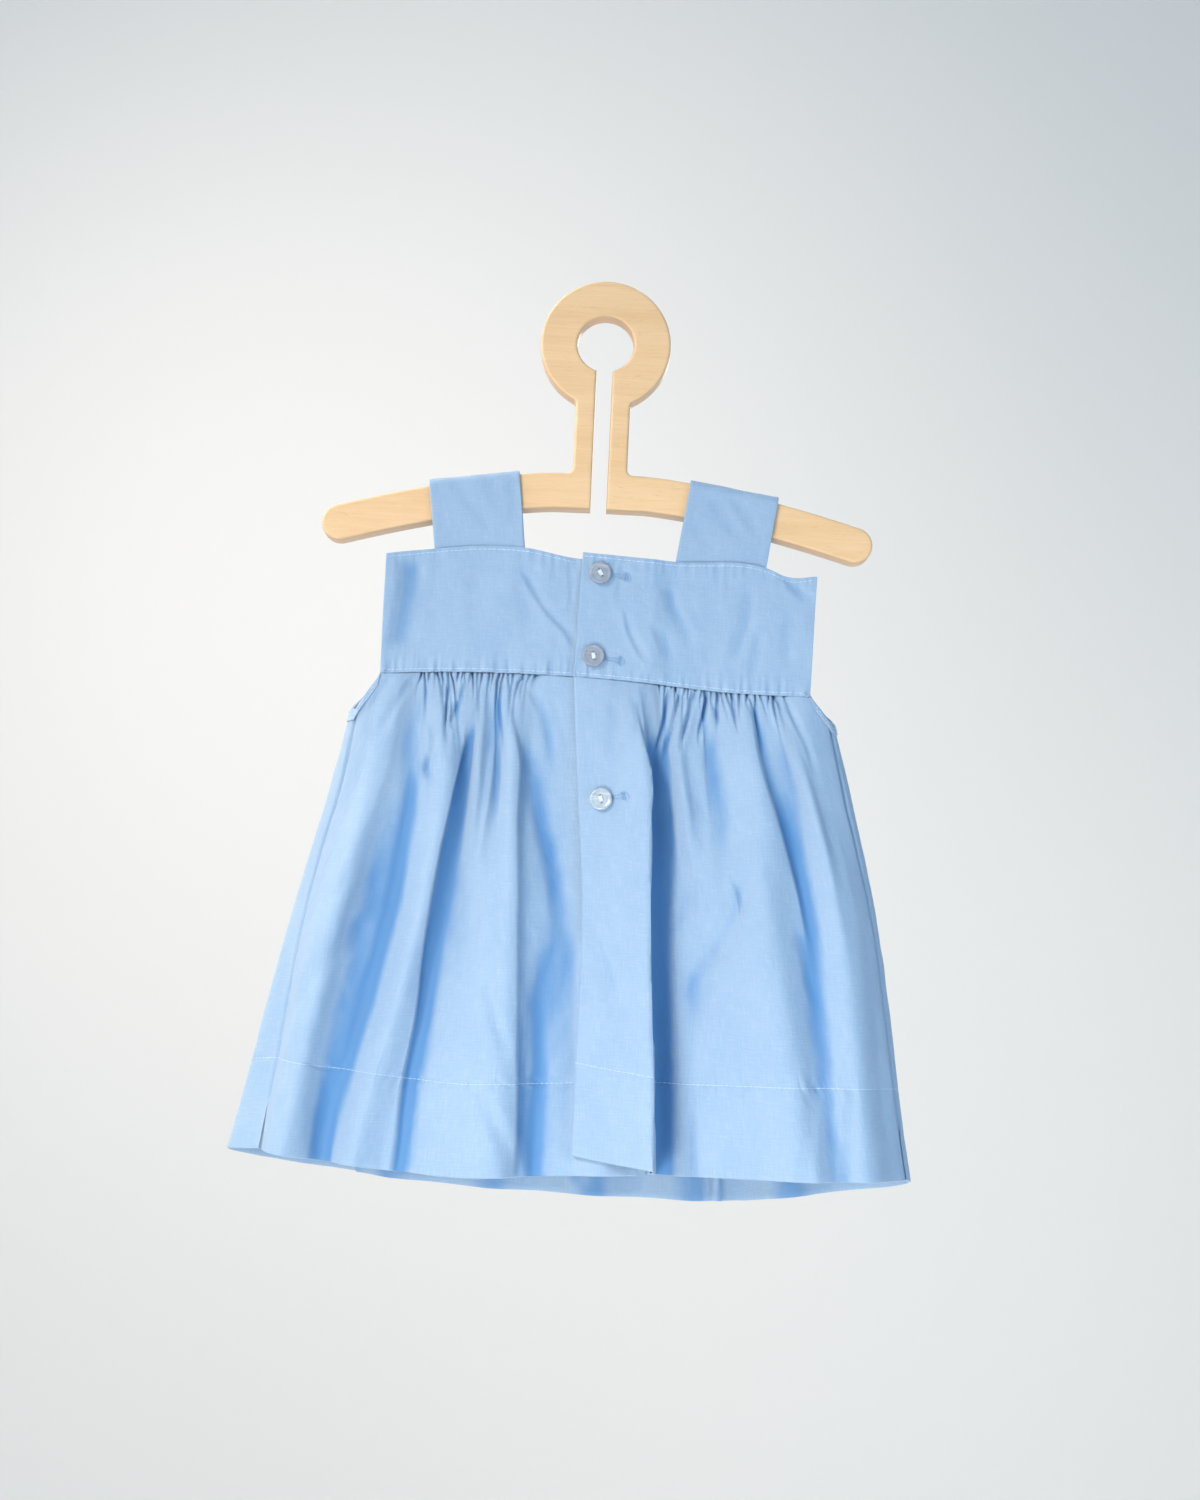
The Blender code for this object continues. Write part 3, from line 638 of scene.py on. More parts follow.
for yoke in YOKES:
    width = abs(yoke.right_top - yoke.left_top)
    height = YOKE_SEAM[2].depth - yoke.top_edge[2].depth

    def point(across, down, yoke=yoke):
        return yoke_place(yoke, across, down)

    def flat(across, down, width=width, height=height):
        return across * width, down * height

    sheet = cloth_sheet(
        yoke.name + "_cloth",
        steps(0, 1, YOKE_COLUMN / width),
        steps(0, 1, 1 / YOKE_ROWS),
        point,
        flat,
        YOKE_THICKNESS,
    )
    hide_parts(yoke.name)
    width * MM
    height * MM


# Straps
# Two wide doubled straps of the same poplin. Each is sewn in under the front yoke's upper edge,
# goes over an arm of the hanger and down to the back yoke.
STRAP_COLUMN = 2.0
STRAP_THICKNESS = 1.0
STRAP_SIDE_Y = HANGER_THICKNESS / 2 + GAP + CLOTH / 2
STRAP_CORNER = 3.2
STRAP_STAND = 12.0
STRAP_LIFT = 1.8
STRAP_TUCK = 5.0
STRAP_TUCK_DEPTH = 1.3
STRAP_RUN_STEP = 1.6
STRAP_WAVE = 0.3
STRAP_EDGE_RISE = 0.25

Strap = namedtuple("Strap", "name inner_top outer_top inner_foot outer_foot creases")
STRAPS = [
    Strap("strap_left", -42.3, -89.6, -37.2, -84.1, [
        Crease(((-78, 92), (-66, 106), (-52, 124)), 5.0, 7.0, 0.5),
        Crease(((-60, 88), (-55, 98), (-50, 112)), 5.0, 5.0, 0.35),
        Crease(((-46, 92), (-43, 106), (-41, 120)), 4.0, 6.0, 0.5),
    ]),
    Strap("strap_right", 48.1, 94.7, 41.4, 88.9, [
        Crease(((58, 93), (66, 106), (78, 122)), 5.0, 7.0, 0.6),
        Crease(((70, 94), (80, 108), (86, 122)), 5.0, 6.0, 0.5),
        Crease(((50, 108), (55, 118), (60, 127)), 4.0, 6.0, 0.35),
    ]),
]


def arm_top(x):
    """Depth of the arm's upper edge over x."""
    return arm_axis(x) - ARM_HALF_HEIGHT * 1.02


def strap_side_view(crown, front_end, back_end):
    """The strap from the side as (y, depth): up the front, over the arm and down the back."""
    side = STRAP_SIDE_Y
    stand = crown + STRAP_STAND
    front_y = YOKE_FRONT_Y + STRAP_TUCK_DEPTH
    path = [(front_y, front_end + STRAP_TUCK), (front_y, front_end), (-side, stand)]
    path += arc(-side + STRAP_CORNER, crown + STRAP_CORNER, STRAP_CORNER, -90, 0)
    path += arc(side - STRAP_CORNER, crown + STRAP_CORNER, STRAP_CORNER, 0, 90)
    back_y = YOKE_BACK_Y - STRAP_TUCK_DEPTH
    path += [(side, stand), (back_y, back_end), (back_y, back_end + STRAP_TUCK)]
    return path


def strap_point(strap, across, run):
    """A point on the strap's outside. run goes from 0 at its front end to 1 at its back end."""
    x_top = strap.inner_top + (strap.outer_top - strap.inner_top) * across
    x_foot = strap.inner_foot + (strap.outer_foot - strap.inner_foot) * across
    crown = arm_top(x_top) - GAP - CLOTH / 2 - STRAP_LIFT * across**2
    front_edge = YOKE_TOP_LEFT if strap.inner_top < 0 else YOKE_TOP_RIGHT
    front_end = edge_depth(front_edge, x_foot)
    back_end = edge_depth(YOKE_TOP_BACK, x_foot)
    path = [Vector(p) for p in strap_side_view(crown, front_end, back_end)]
    lengths = lengths_along(path)
    at = run * lengths[-1]
    k = max(n for n in range(len(path) - 1) if lengths[n] <= at)
    share = (at - lengths[k]) / (lengths[k + 1] - lengths[k])
    y, depth = path[k].lerp(path[k + 1], share)
    lean = (depth - crown) / (max(front_end, back_end) - crown)
    x = x_top + (x_foot - x_top) * lean
    along = path[k + 1] - path[k]
    out = Vector((0, along.y, along.x)).normalized()
    press = press_of_all(strap.creases, x, depth) + STRAP_WAVE * noise.noise((x / 14, depth / 16, y / 12))
    edge = min(across, 1 - across) * abs(strap.outer_top - strap.inner_top)
    press -= STRAP_EDGE_RISE * (1 - blend(1.5, 3.0, edge))
    press *= blend(0, 2, edge + 1)
    return Vector((x, y, -depth)) + out * (CLOTH / 2 - press), lengths[-1]


for strap in STRAPS:
    width = abs(strap.outer_top - strap.inner_top)
    length = strap_point(strap, 0.5, 0.5)[1]

    def point(across, run, strap=strap):
        return strap_point(strap, across, run)[0]

    def flat(across, run, width=width, length=length):
        return across * width, run * length

    order = (0, 1) if strap.inner_top > 0 else (1, 0)
    sheet = cloth_sheet(
        strap.name + "_cloth",
        steps(*order, STRAP_COLUMN / width),
        steps(1, 0, STRAP_RUN_STEP / length),
        point,
        flat,
        STRAP_THICKNESS,
    )
    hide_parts(strap.name)
    width * MM
    length * MM


# Skirt
# Three panels of single poplin, gathered to the yokes' seam: a front on each side and one back.
# The right front laps over the left, the side seams are turned in, and the hem is turned up inside.
SKIRT_THICKNESS = 0.55
LEVELS = (197.0, 252.0, 303.0, 417.0)
TRACK_FROM = 190
TRACK_TO = 470
GATHER_COLUMNS = 9
PLAIN_COLUMN = 1.4
GATHER_ROWS = (
    -2.5, -1.2, -0.5, -0.15, 0.2, 0.6, 1.0, 1.5, 2.1, 2.8, 3.6, 4.5, 5.5, 6.6, 7.8, 9.1, 10.5, 12.0, 13.6,
    15.4, 17.4, 19.6, 22.0, 24.6, 27.4, 30.4, 33.6, 37.0, 41.0, 45.0,
)
BODY_ROW = 2.9
HEM_HEIGHT = 45.5
HEM_ROW = 3.0
HEM_LAYER = 0.9
STITCH_ROWS = (-1.8, -0.9, -0.3, 0.3, 0.9, 1.8)
TUCK = 1.0
TUCK_SHOWN = 0.2
GATHER_PRESS = 1.3
GATHER_LIMIT = 3.4
GATHER_LENGTHS = (4.0, 6.0, 7.0, 9.0, 12.0, 16.0, 22.0, 32.0)
LAP_COLUMNS = (0.3, 0.6, 0.95)
ROLL_COLUMNS = (1.6, 1.0, 0.5, 0.0)
FOLD_ROWS = (0.0, 0.5, 1.0)
BODY_HEIGHT = 150
SKIRT_WAVE = 0.5
SKIRT_WRINKLE = 0.25
STITCH_PULL = 0.14
STITCH_PUCKER = 0.12
HEM_PUCKER = 0.34
HEM_TURN = 0.4
HEM_SHORT = 0.3
SKIRT_WAVE_SIZE = (15, 38)
SKIRT_WRINKLE_SIZE = (6, 11)
LAP_ROLL = 0.9
LAP_ROLL_WIDTH = 1.3
ARMHOLE_EDGE = 1.3
SEAM_ROLL = 1.4
SEAM_ROLL_WIDTH = 1.5
VENT_TOP = 418.0
VENT_WIDTH = 4.2
FLAT_LEVEL = 400.0

# Lines down the skirt, in order round it from the edge of the lap to the edge under it.
# x and y hold a value for each of LEVELS. drop is how far the top edge lies under the yoke's seam.
# Between a line and the next there are so many gathers.
Line = namedtuple("Line", "name x y drop hem gathers")
LINES = [
    Line("lap_edge", (-8.5, -4.0, 0.4, 1.3), (-11.7, -16.0, -20.0, -29.0), 0, 437.3, 0),
    Line("lap_middle", (10, 13, 15, 18), (-11.7, -18.5, -24.0, -34.0), 0, 439.8, 0),
    Line("lap_fold", (26.5, 34.5, 37, 43), (-11.7, -20.5, -27.0, -39.0), 0, 443.2, 0),
    Line("fold_return", (30.5, 35, 39, 39), (-11.0, -15.0, -17.5, -26.0), 0, 445.4, 0),
    Line("deep_valley", (35, 41, 49, 57), (-9.7, -10.5, -13.0, -17.0), 0, 446.0, 5),
    Line("right_ridge_1", (47, 51, 60, 75), (-9.5, -17.0, -17.0, -22.0), 0, 445.6, 4),
    Line("right_valley_1", (58, 64, 71, 88), (-9.5, -12.0, -19.5, -25.0), 0, 445.4, 7),
    Line("right_ridge_2", (78, 89, 94, 117), (-9.5, -19.5, -26.0, -33.0), 0, 445.0, 5),
    Line("right_valley_2", (92, 106, 112, 129), (-9.5, -13.5, -17.0, -26.5), 0, 444.6, 3),
    Line("right_ridge_3", (101, 116, 131, 146), (-9.5, -16.5, -21.0, -28.0), 0, 444.2, 0),
    Line("right_corner", (113.6, 126, 141, 157.5), (-9.5, -11.0, -13.0, -17.0), 0, 443.9, 0),
    Line("right_side_seam", (121, 134, 147, 166), (-5.0, -6.0, -6.5, -8.0), 12.1, 443.8, 0),
    Line("right_side", (123, 138, 150.5, 169), (1.0, 1.0, 1.0, 2.0), 11.5, 445.5, 0),
    Line("back_corner_right", (113.5, 129, 142, 160), (8.5, 9.5, 11.0, 13.5), 0, 449.0, 0),
    Line("back_ridge_1", (97, 106, 116, 133), (8.5, 14.5, 17.5, 20.0), 0, 453.0, 3),
    Line("back_valley_1", (82, 89, 97, 110), (8.5, 10.0, 11.0, 12.0), 0, 456.5, 3),
    Line("back_ridge_2", (66, 70, 77, 88), (8.5, 15.0, 17.0, 19.5), 0, 459.6, 3),
    Line("back_valley_2", (49, 52, 56, 62), (8.5, 10.0, 11.5, 12.0), 0, 460.4, 3),
    Line("back_ridge_3", (32, 33, 35, 38), (8.5, 14.0, 17.0, 20.5), 0, 460.4, 3),
    Line("back_valley_3", (14, 14, 14, 13), (8.5, 10.5, 11.0, 12.0), 0, 460.0, 3),
    Line("back_ridge_4", (-4, -6, -8, -12), (8.5, 15.0, 18.0, 20.0), 0, 459.4, 3),
    Line("back_valley_4", (-22, -25, -29, -37), (8.5, 10.0, 11.0, 12.5), 0, 458.7, 3),
    Line("back_ridge_5", (-41, -45, -51, -63), (8.5, 14.5, 17.5, 19.5), 0, 457.4, 3),
    Line("back_valley_5", (-59, -65, -73, -87), (8.5, 10.0, 11.5, 12.5), 0, 455.6, 3),
    Line("back_ridge_6", (-77, -85, -95, -111), (8.5, 14.0, 16.5, 19.0), 0, 452.6, 3),
    Line("back_valley_6", (-93, -102, -113, -131), (8.5, 10.0, 11.0, 13.0), 0, 450.2, 0),
    Line("back_corner_left", (-108, -120, -132, -153), (8.5, 9.0, 10.0, 12.0), 0, 447.4, 0),
    Line("left_side", (-120, -130.5, -143, -167), (1.5, 1.0, 0.5, 0.0), 18.3, 443.5, 0),
    Line("left_side_seam", (-117.5, -125, -136, -151.5), (-6.0, -7.5, -9.5, -12.5), 18.3, 442.0, 0),
    Line("left_corner", (-108.4, -115, -129, -146), (-9.5, -12.5, -17.5, -22.0), 0, 443.0, 0),
    Line("left_ridge_1", (-98, -103, -121, -139), (-9.5, -17.0, -23.5, -27.5), 0, 444.0, 0),
    Line("left_valley_1", (-89, -91, -94, -118), (-9.5, -11.0, -12.0, -17.0), 0, 446.0, 5),
    Line("left_ridge_2", (-77, -70, -76, -100), (-9.5, -17.5, -22.0, -26.5), 0, 447.6, 5),
    Line("left_valley_2", (-66, -61.5, -67, -88), (-9.5, -10.5, -15.0, -21.0), 0, 448.8, 4),
    Line("left_ridge_3", (-57, -54, -57, -64), (-9.5, -17.5, -20.0, -28.0), 0, 450.2, 3),
    Line("left_valley_3", (-49, -46, -48, -51), (-9.5, -12.5, -24.0, -32.5), 0, 450.4, 4),
    Line("left_ridge_4", (-39, -38, -38, -37), (-9.5, -18.0, -28.0, -36.0), 0, 449.6, 3),
    Line("left_valley_4", (-28, -27, -13, -16), (-9.5, -12.0, -16.0, -24.0), 0, 448.6, 0),
    Line("under_middle", (2, 3, 8, 8), (-9.5, -12.7, -17.0, -25.5), 0, 447.0, 0),
    Line("under_edge", (24, 26, 29, 33), (-9.5, -12.7, -17.0, -26.0), 0, 446.0, 0),
]
NUMBER = {line.name: number for number, line in enumerate(LINES)}
TRACKS = [
    [
        Vector((smooth_through(LEVELS, line.x, depth), smooth_through(LEVELS, line.y, depth)))
        for depth in range(TRACK_FROM, TRACK_TO)
    ]
    for line in LINES
]

# Each gather is a pinch across a share of the way between two lines. It leans, hooks sideways at
# the seam, and fades out after its own length.
Gather = namedtuple("Gather", "at width depth length lean hook")
dice = random.Random(7)
GATHERS = {}
for number, line in enumerate(LINES):
    row = []
    for k in range(line.gathers):
        at = (k + 0.5 + dice.uniform(-0.24, 0.24)) / line.gathers
        width = dice.uniform(0.2, 0.34) / line.gathers
        length = dice.choice(GATHER_LENGTHS) * dice.uniform(0.8, 1.25)
        lean = dice.uniform(-0.8, 0.8) / line.gathers
        hook = dice.uniform(-0.5, 0.5) / line.gathers
        row.append(Gather(at, width, dice.uniform(1.2, 2.6), length, lean, hook))
    GATHERS[number] = row

SKIRT_LEFT_CREASES = [
    Crease(
        ((-56, 196), (-60, 215), (-64.5, 234), (-67.5, 250), (-70.5, 270), (-74, 293), (-79, 333),
         (-82, 376), (-86, 405), (-88, 440), (-90, 460)),
        8.0, 7.0, 2.6, 1.1, 2.4, 0.95, 1.9,
    ),
    Crease(
        ((-50, 198), (-50, 222), (-51, 245), (-52, 262), (-54, 285), (-54, 304)),
        6.0, 3.0, 2.0, keep=0.6,
    ),
    Crease(
        ((-43, 199), (-41.5, 213), (-40, 220), (-37.5, 229), (-35.5, 240), (-35, 252), (-35, 266),
         (-34, 283), (-32.5, 305), (-31.5, 330), (-30.5, 355), (-29.5, 383), (-28.5, 406),
         (-27.5, 440), (-27, 460)),
        8.0, 12.0, 2.2, 1.3, 2.8, 0.9, 1.4,
    ),
    Crease(
        ((-86, 200), (-90, 214), (-94, 226), (-98, 241), (-101, 255), (-103, 274), (-106, 297), (-110, 323),
         (-115, 348), (-120, 372), (-124, 395), (-124, 430), (-123, 460)),
        11.0, 9.0, 2.4, keep=1.0,
    ),
    Crease(((-112, 318), (-118, 338), (-130, 352), (-135, 364), (-133, 380), (-130, 395)), 6.0, 8.0, 1.6),
    Crease(((-112, 300), (-120, 318), (-127, 335)), 4.0, 5.0, -0.9),
    Crease(((-82, 220), (-79, 234), (-82, 246), (-79, 255), (-81, 270)), 2.6, 3.6, 1.7),
    Crease(((-73.5, 200), (-73, 214), (-74, 231)), 1.5, 1.6, 3.2),
    Crease(((-34, 195), (-36, 209)), 1.6, 1.4, 1.6),
    Crease(((-45, 197), (-46, 212), (-44, 226), (-41, 243)), 1.8, 1.8, 1.8),
    Crease(((-63, 197), (-67, 210), (-71, 222), (-73, 240)), 2.2, 2.6, 1.8),
    Crease(((-90, 196), (-97, 208), (-104, 222), (-110, 238)), 2.4, 3.4, 1.4),
    Crease(((-103, 198), (-109, 208), (-114, 220)), 1.8, 2.4, 1.2),
    Crease(((-32, 200), (-24, 214), (-20, 228), (-18, 244)), 3.5, 6.0, 1.2),
    Crease(((-20, 204), (-14, 222), (-9, 240)), 4.0, 4.0, 0.6),
    Crease(((-26, 240), (-22, 270), (-14, 300), (-10, 340)), 6.0, 8.0, 1.0),
    Crease(((-46, 350), (-40, 368), (-34, 386), (-32, 402)), 5.0, 4.0, 1.2),
    Crease(((-46, 404), (-38, 420), (-30, 436), (-24, 456)), 7.0, 5.0, 1.3, keep=1.0),
    Crease(((-57, 300), (-55, 325), (-58, 350), (-57, 376)), 7.0, 9.0, 0.6),
    Crease(((-16, 330), (-19, 365), (-16, 392), (-16, 450)), 6.0, 6.0, 1.0, keep=1.0),
    Crease(((9, 320), (13, 370), (16, 430), (17, 460)), 15.0, 15.0, -4.2, keep=1.0),
]
SKIRT_RIGHT_CREASES = [
    Crease(((27, 197), (30, 212), (33.5, 228), (36.5, 244), (39, 262), (41, 285)), 3.0, 5.0, 1.8, keep=0.5),
    Crease(
        ((23, 200), (25.5, 216), (29, 229), (32.5, 243), (34, 269), (36, 332), (37.7, 361), (40, 398),
         (42, 441), (43, 470)),
        7.0, 5.0, 3.6, 1.0, 1.3, 1.0,
    ),
    Crease(
        ((36.5, 240), (39, 275), (41, 332), (43, 361), (45.5, 398), (47.5, 441), (48.5, 470)),
        3.5, 10.0, 6.5, keep=1.0,
    ),
    Crease(((41, 196), (39, 214), (36.5, 229), (35, 243)), 1.4, 1.7, 2.4),
    Crease(((47.5, 196), (43.5, 217), (40, 231), (38.5, 242)), 1.5, 2.0, 2.4),
    Crease(((54, 196), (51, 215), (48, 227), (47.5, 237)), 1.7, 2.8, 2.9),
    Crease(((61, 197), (60, 207), (58, 219), (57, 230)), 1.3, 1.6, 2.0),
    Crease(((67, 197), (66, 208), (67, 220)), 1.3, 1.6, 1.8),
    Crease(((73, 198), (75, 210), (78, 222)), 1.3, 1.8, 1.6),
    Crease(
        ((58, 198), (54, 221), (52.5, 234), (55, 248), (57.5, 262), (59, 277), (61, 296)),
        5.5, 6.5, 2.2,
    ),
    Crease(
        ((79, 197), (84, 216), (86.5, 231), (91, 248), (97, 266), (103, 285), (109, 304), (114, 325),
         (120, 350), (128, 372)),
        8.0, 10.0, 2.2, 1.2, 3.0, 0.55, 1.7,
    ),
    Crease(
        ((90, 199), (101, 220), (109, 238), (115, 255), (122, 274), (130, 299), (137, 325)),
        3.5, 5.0, -1.0,
    ),
    Crease(((98, 200), (106, 212), (113, 226), (119, 244)), 2.0, 3.0, 1.1),
    Crease(((112, 226), (119, 250), (127, 280), (134, 310), (142, 345)), 4.0, 6.0, 1.2),
    Crease(
        ((84, 288), (81, 300), (77, 314), (71, 329), (63, 342), (60, 352), (62, 363), (69, 380)),
        7.0, 9.0, 1.6,
    ),
    Crease(((70, 280), (64, 300), (57, 320), (52, 345)), 7.0, 8.0, -0.8),
    Crease(((76, 296), (80, 306), (81, 318)), 1.5, 2.0, 0.9),
    Crease(((110, 318), (116, 339), (122, 357), (130, 374)), 6.0, 6.0, 0.9),
    Crease(((122, 392), (119, 412), (118, 430), (117, 455)), 7.0, 5.0, 0.8, keep=1.0),
    Crease(((141, 385), (140, 415), (139, 455)), 5.0, 5.0, 0.8, keep=1.0),
    Crease(((2, 300), (11, 330), (19, 352), (27, 370), (34, 388)), 9.0, 5.0, 1.2),
    Crease(((12, 205), (15, 222), (11, 240)), 5.0, 6.0, 0.5),
    Crease(((22, 202), (26, 216), (24, 232)), 3.0, 4.0, 0.7),
    Crease(((10, 392), (15, 415), (20, 440)), 9.0, 9.0, 0.7, keep=1.0),
]
SKIRT_BACK_CREASES = [
    Crease(((92, 197), (96, 225), (104, 255), (109, 290), (116, 340)), 9.0, 7.0, 2.0, 1.0, 2.6),
    Crease(((70, 197), (66, 216), (67, 232), (63, 250), (66, 275)), 3.0, 4.0, 2.2),
    Crease(
        ((58, 197), (62, 225), (60, 260), (66, 300), (70, 350), (76, 450)),
        10.0, 8.0, 2.2, 1.1, 2.6, 0.9, 1.6,
    ),
    Crease(((40, 197), (38, 214), (41, 230)), 1.6, 1.8, 2.6),
    Crease(((24, 197), (26, 220), (22, 245), (25, 280), (20, 320)), 7.0, 9.0, 1.9, 0.9, 2.4),
    Crease(((3, 197), (6, 212), (4, 228), (8, 250)), 2.0, 2.4, 2.4),
    Crease(
        ((-14, 197), (-17, 226), (-15, 262), (-22, 300), (-24, 360), (-30, 450)),
        9.0, 9.0, 2.3, 1.1, 2.8, 0.9, 1.5,
    ),
    Crease(((-34, 198), (-37, 214), (-35, 232), (-39, 252)), 2.4, 2.0, 2.2),
    Crease(((-52, 197), (-58, 224), (-60, 256), (-66, 296), (-72, 350)), 8.0, 9.0, 2.0, 0.9, 2.6),
    Crease(((-70, 197), (-72, 212), (-70, 226)), 1.6, 1.8, 2.4),
    Crease(((-88, 198), (-96, 224), (-101, 256), (-110, 300), (-118, 350), (-126, 400)), 7.0, 9.0, 2.0),
    Crease(((44, 320), (38, 345), (42, 368), (50, 390)), 6.0, 7.0, 1.6, 0.5, 2.4),
    Crease(((-92, 300), (-84, 330), (-86, 362), (-80, 400)), 6.0, 8.0, 1.3),
    Crease(((6, 330), (2, 370), (5, 410), (3, 455)), 8.0, 8.0, 1.2, keep=1.0),
    Crease(((-113, 400), (-111, 430), (-109, 470)), 5.0, 6.0, 2.2, 1.2, 1.6, 1.0),
    Crease(((73, 415), (75, 440), (76, 475)), 4.0, 5.0, 2.0, 1.0, 1.4, 1.0),
]

Panel = namedtuple("Panel", "name first last")
PANELS = [
    Panel("skirt_front_right", "lap_edge", "right_side_seam"),
    Panel("skirt_back", "right_side_seam", "left_side_seam"),
    Panel("skirt_front_left", "left_side_seam", "under_edge"),
]


def line_point(number, depth):
    """Where a line of the skirt crosses that depth, as (x, y)."""
    place = min(max(depth, TRACK_FROM), TRACK_TO - 2) - TRACK_FROM
    k = int(place)
    return TRACKS[number][k].lerp(TRACKS[number][k + 1], place - k)


def beside(number):
    """A line of the skirt and the next one."""
    return LINES[number], LINES[min(number + 1, len(LINES) - 1)]


def split(column):
    """The line that a place round the skirt lies past, and the share of the way on to the next."""
    number = min(int(column), len(LINES) - 2)
    return number, column - number


@functools.cache
def skirt_section(number, t, depth):
    """A point between a line and the next, the direction out there, and how far the lines are apart."""
    first = max(number - 1, 0)
    last = min(number + 2, len(LINES) - 1)
    points = [line_point(k, depth) for k in range(first, last + 1)]
    knots = lengths_along(points)
    here = number - first
    span = knots[here + 1] - knots[here]
    at = knots[here] + span * t
    step = 0.05
    xs = [p.x for p in points]
    ys = [p.y for p in points]
    ahead = Vector((smooth_through(knots, xs, at + step), smooth_through(knots, ys, at + step)))
    behind = Vector((smooth_through(knots, xs, at - step), smooth_through(knots, ys, at - step)))
    along = (ahead - behind).normalized()
    return (ahead + behind) / 2, Vector((along.y, -along.x)), span


def skirt_top(number, t):
    """Depth of the skirt's upper edge: the yoke's seam, or the armhole at the sides."""
    near, far = beside(number)
    near_top = edge_depth(YOKE_SEAM, near.x[0]) + near.drop
    far_top = edge_depth(YOKE_SEAM, far.x[0]) + far.drop
    if near.drop == far.drop == 0:
        x = near.x[0] + (far.x[0] - near.x[0]) * t
        return edge_depth(YOKE_SEAM, x) + GAP
    return near_top + (far_top - near_top) * t + GAP


def tucked(number, t):
    """1 where the skirt's edge goes in under the yoke, 0 along the armholes."""
    near, far = beside(number)
    if near.drop == far.drop == 0:
        return 1.0
    if near.drop > 0 and far.drop > 0:
        return 0.0
    return 1 - blend(0.0, 0.25, t if near.drop == 0 else 1 - t)


def skirt_hem(number, t):
    """Depth of the skirt's lower edge."""
    near, far = beside(number)
    return near.hem + (far.hem - near.hem) * t


def gather_press(number, t, from_top):
    """How deep the gathers pinch the cloth in under the seam."""
    total = 0.0
    for other in (number - 1, number, number + 1):
        for gather in GATHERS.get(other, ()):
            spread = 1 + max(0.0, from_top) / 16
            at = other + gather.at + gather.lean * blend(0, 14, from_top)
            at += gather.hook * (1 - blend(0, 5, from_top))
            near = (number + t - at) / (gather.width * spread)
            if -2 < near < 3.2:
                fade = math.exp(-((max(0.0, from_top) / gather.length) ** 1.3))
                bank = 0.7 if near < 0 else 1.15
                total += GATHER_PRESS * gather.depth * fade * math.exp(-((near / bank) ** 2))
    return min(total, GATHER_LIMIT)


def creases_of(number):
    """The creases of the panel that holds a stretch of the skirt."""
    if number < NUMBER["right_side_seam"]:
        return SKIRT_RIGHT_CREASES
    if number < NUMBER["left_side_seam"]:
        return SKIRT_BACK_CREASES
    return SKIRT_LEFT_CREASES


def skirt_place(number, t, depth):
    """A point on the outside of the skirt."""
    middle, out, span = skirt_section(number, t, depth)
    from_top = depth - skirt_top(number, t)
    hem_line = skirt_hem(number, t) - HEM_HEIGHT
    press = gather_press(number, t, from_top) + press_of_all(creases_of(number), middle.x, depth)
    side = 1 if middle.y < 0 else 2
    across, down = SKIRT_WAVE_SIZE
    press += SKIRT_WAVE * noise.noise((middle.x / across, depth / down, side))
    across, down = SKIRT_WRINKLE_SIZE
    press += SKIRT_WRINKLE * noise.noise((middle.x / across, depth / down, side + 5))
    near_stitch = math.exp(-(((depth - hem_line) / 1.4) ** 2))
    press += near_stitch * (STITCH_PULL + STITCH_PUCKER * rough(number + t, 5.0 / span, 9))
    press += HEM_PUCKER * math.exp(-(((depth - hem_line) / 6) ** 2)) * rough(number + t, 3.2 / span, 4)
    hidden = (TUCK - TUCK_SHOWN) * (1 - blend(-0.5, 0.4, from_top))
    press += tucked(number, t) * (hidden + TUCK_SHOWN * (1 - blend(0.4, 4.0, from_top)))
    return Vector((*(middle + out * (CLOTH / 2 - press)), -depth))


def panel_columns(panel):
    """Places across a panel, each a line's number plus the share of the way to the next line."""
    first = NUMBER[panel.first]
    last = NUMBER[panel.last]
    columns = []
    for number in range(first, last):
        gathers = LINES[number].gathers
        wide = (line_point(number + 1, FLAT_LEVEL) - line_point(number, FLAT_LEVEL)).length
        count = GATHER_COLUMNS * gathers or max(4, round(wide / PLAIN_COLUMN))
        columns += [number + k / count for k in range(count)]
        if number == NUMBER["lap_edge"]:
            columns += [number + run / wide for run in LAP_COLUMNS]
    columns.sort()
    span = skirt_section(last - 1, 1.0, FLAT_LEVEL)[2]
    rolled = [last - 1 + (1 - inset / span) for inset in ROLL_COLUMNS]
    return [c for c in columns if c < rolled[0]] + rolled


def panel_rows():
    """Places down a panel: in the gathers, in the body, and in the hem, turned up inside."""
    rows = [("top", step) for step in GATHER_ROWS]
    rows += [("body", share) for share in steps(0, 1, BODY_ROW / BODY_HEIGHT)[1:-1]]
    rows += [("stitch", step) for step in STITCH_ROWS]
    rows += [("hem", share) for share in steps(0.08, 1, HEM_ROW / HEM_HEIGHT)]
    rows += [("fold", share) for share in FOLD_ROWS]
    rows += [("up", share) for share in steps(0.06, 0.98, HEM_ROW * 1.6 / HEM_HEIGHT)]
    return rows


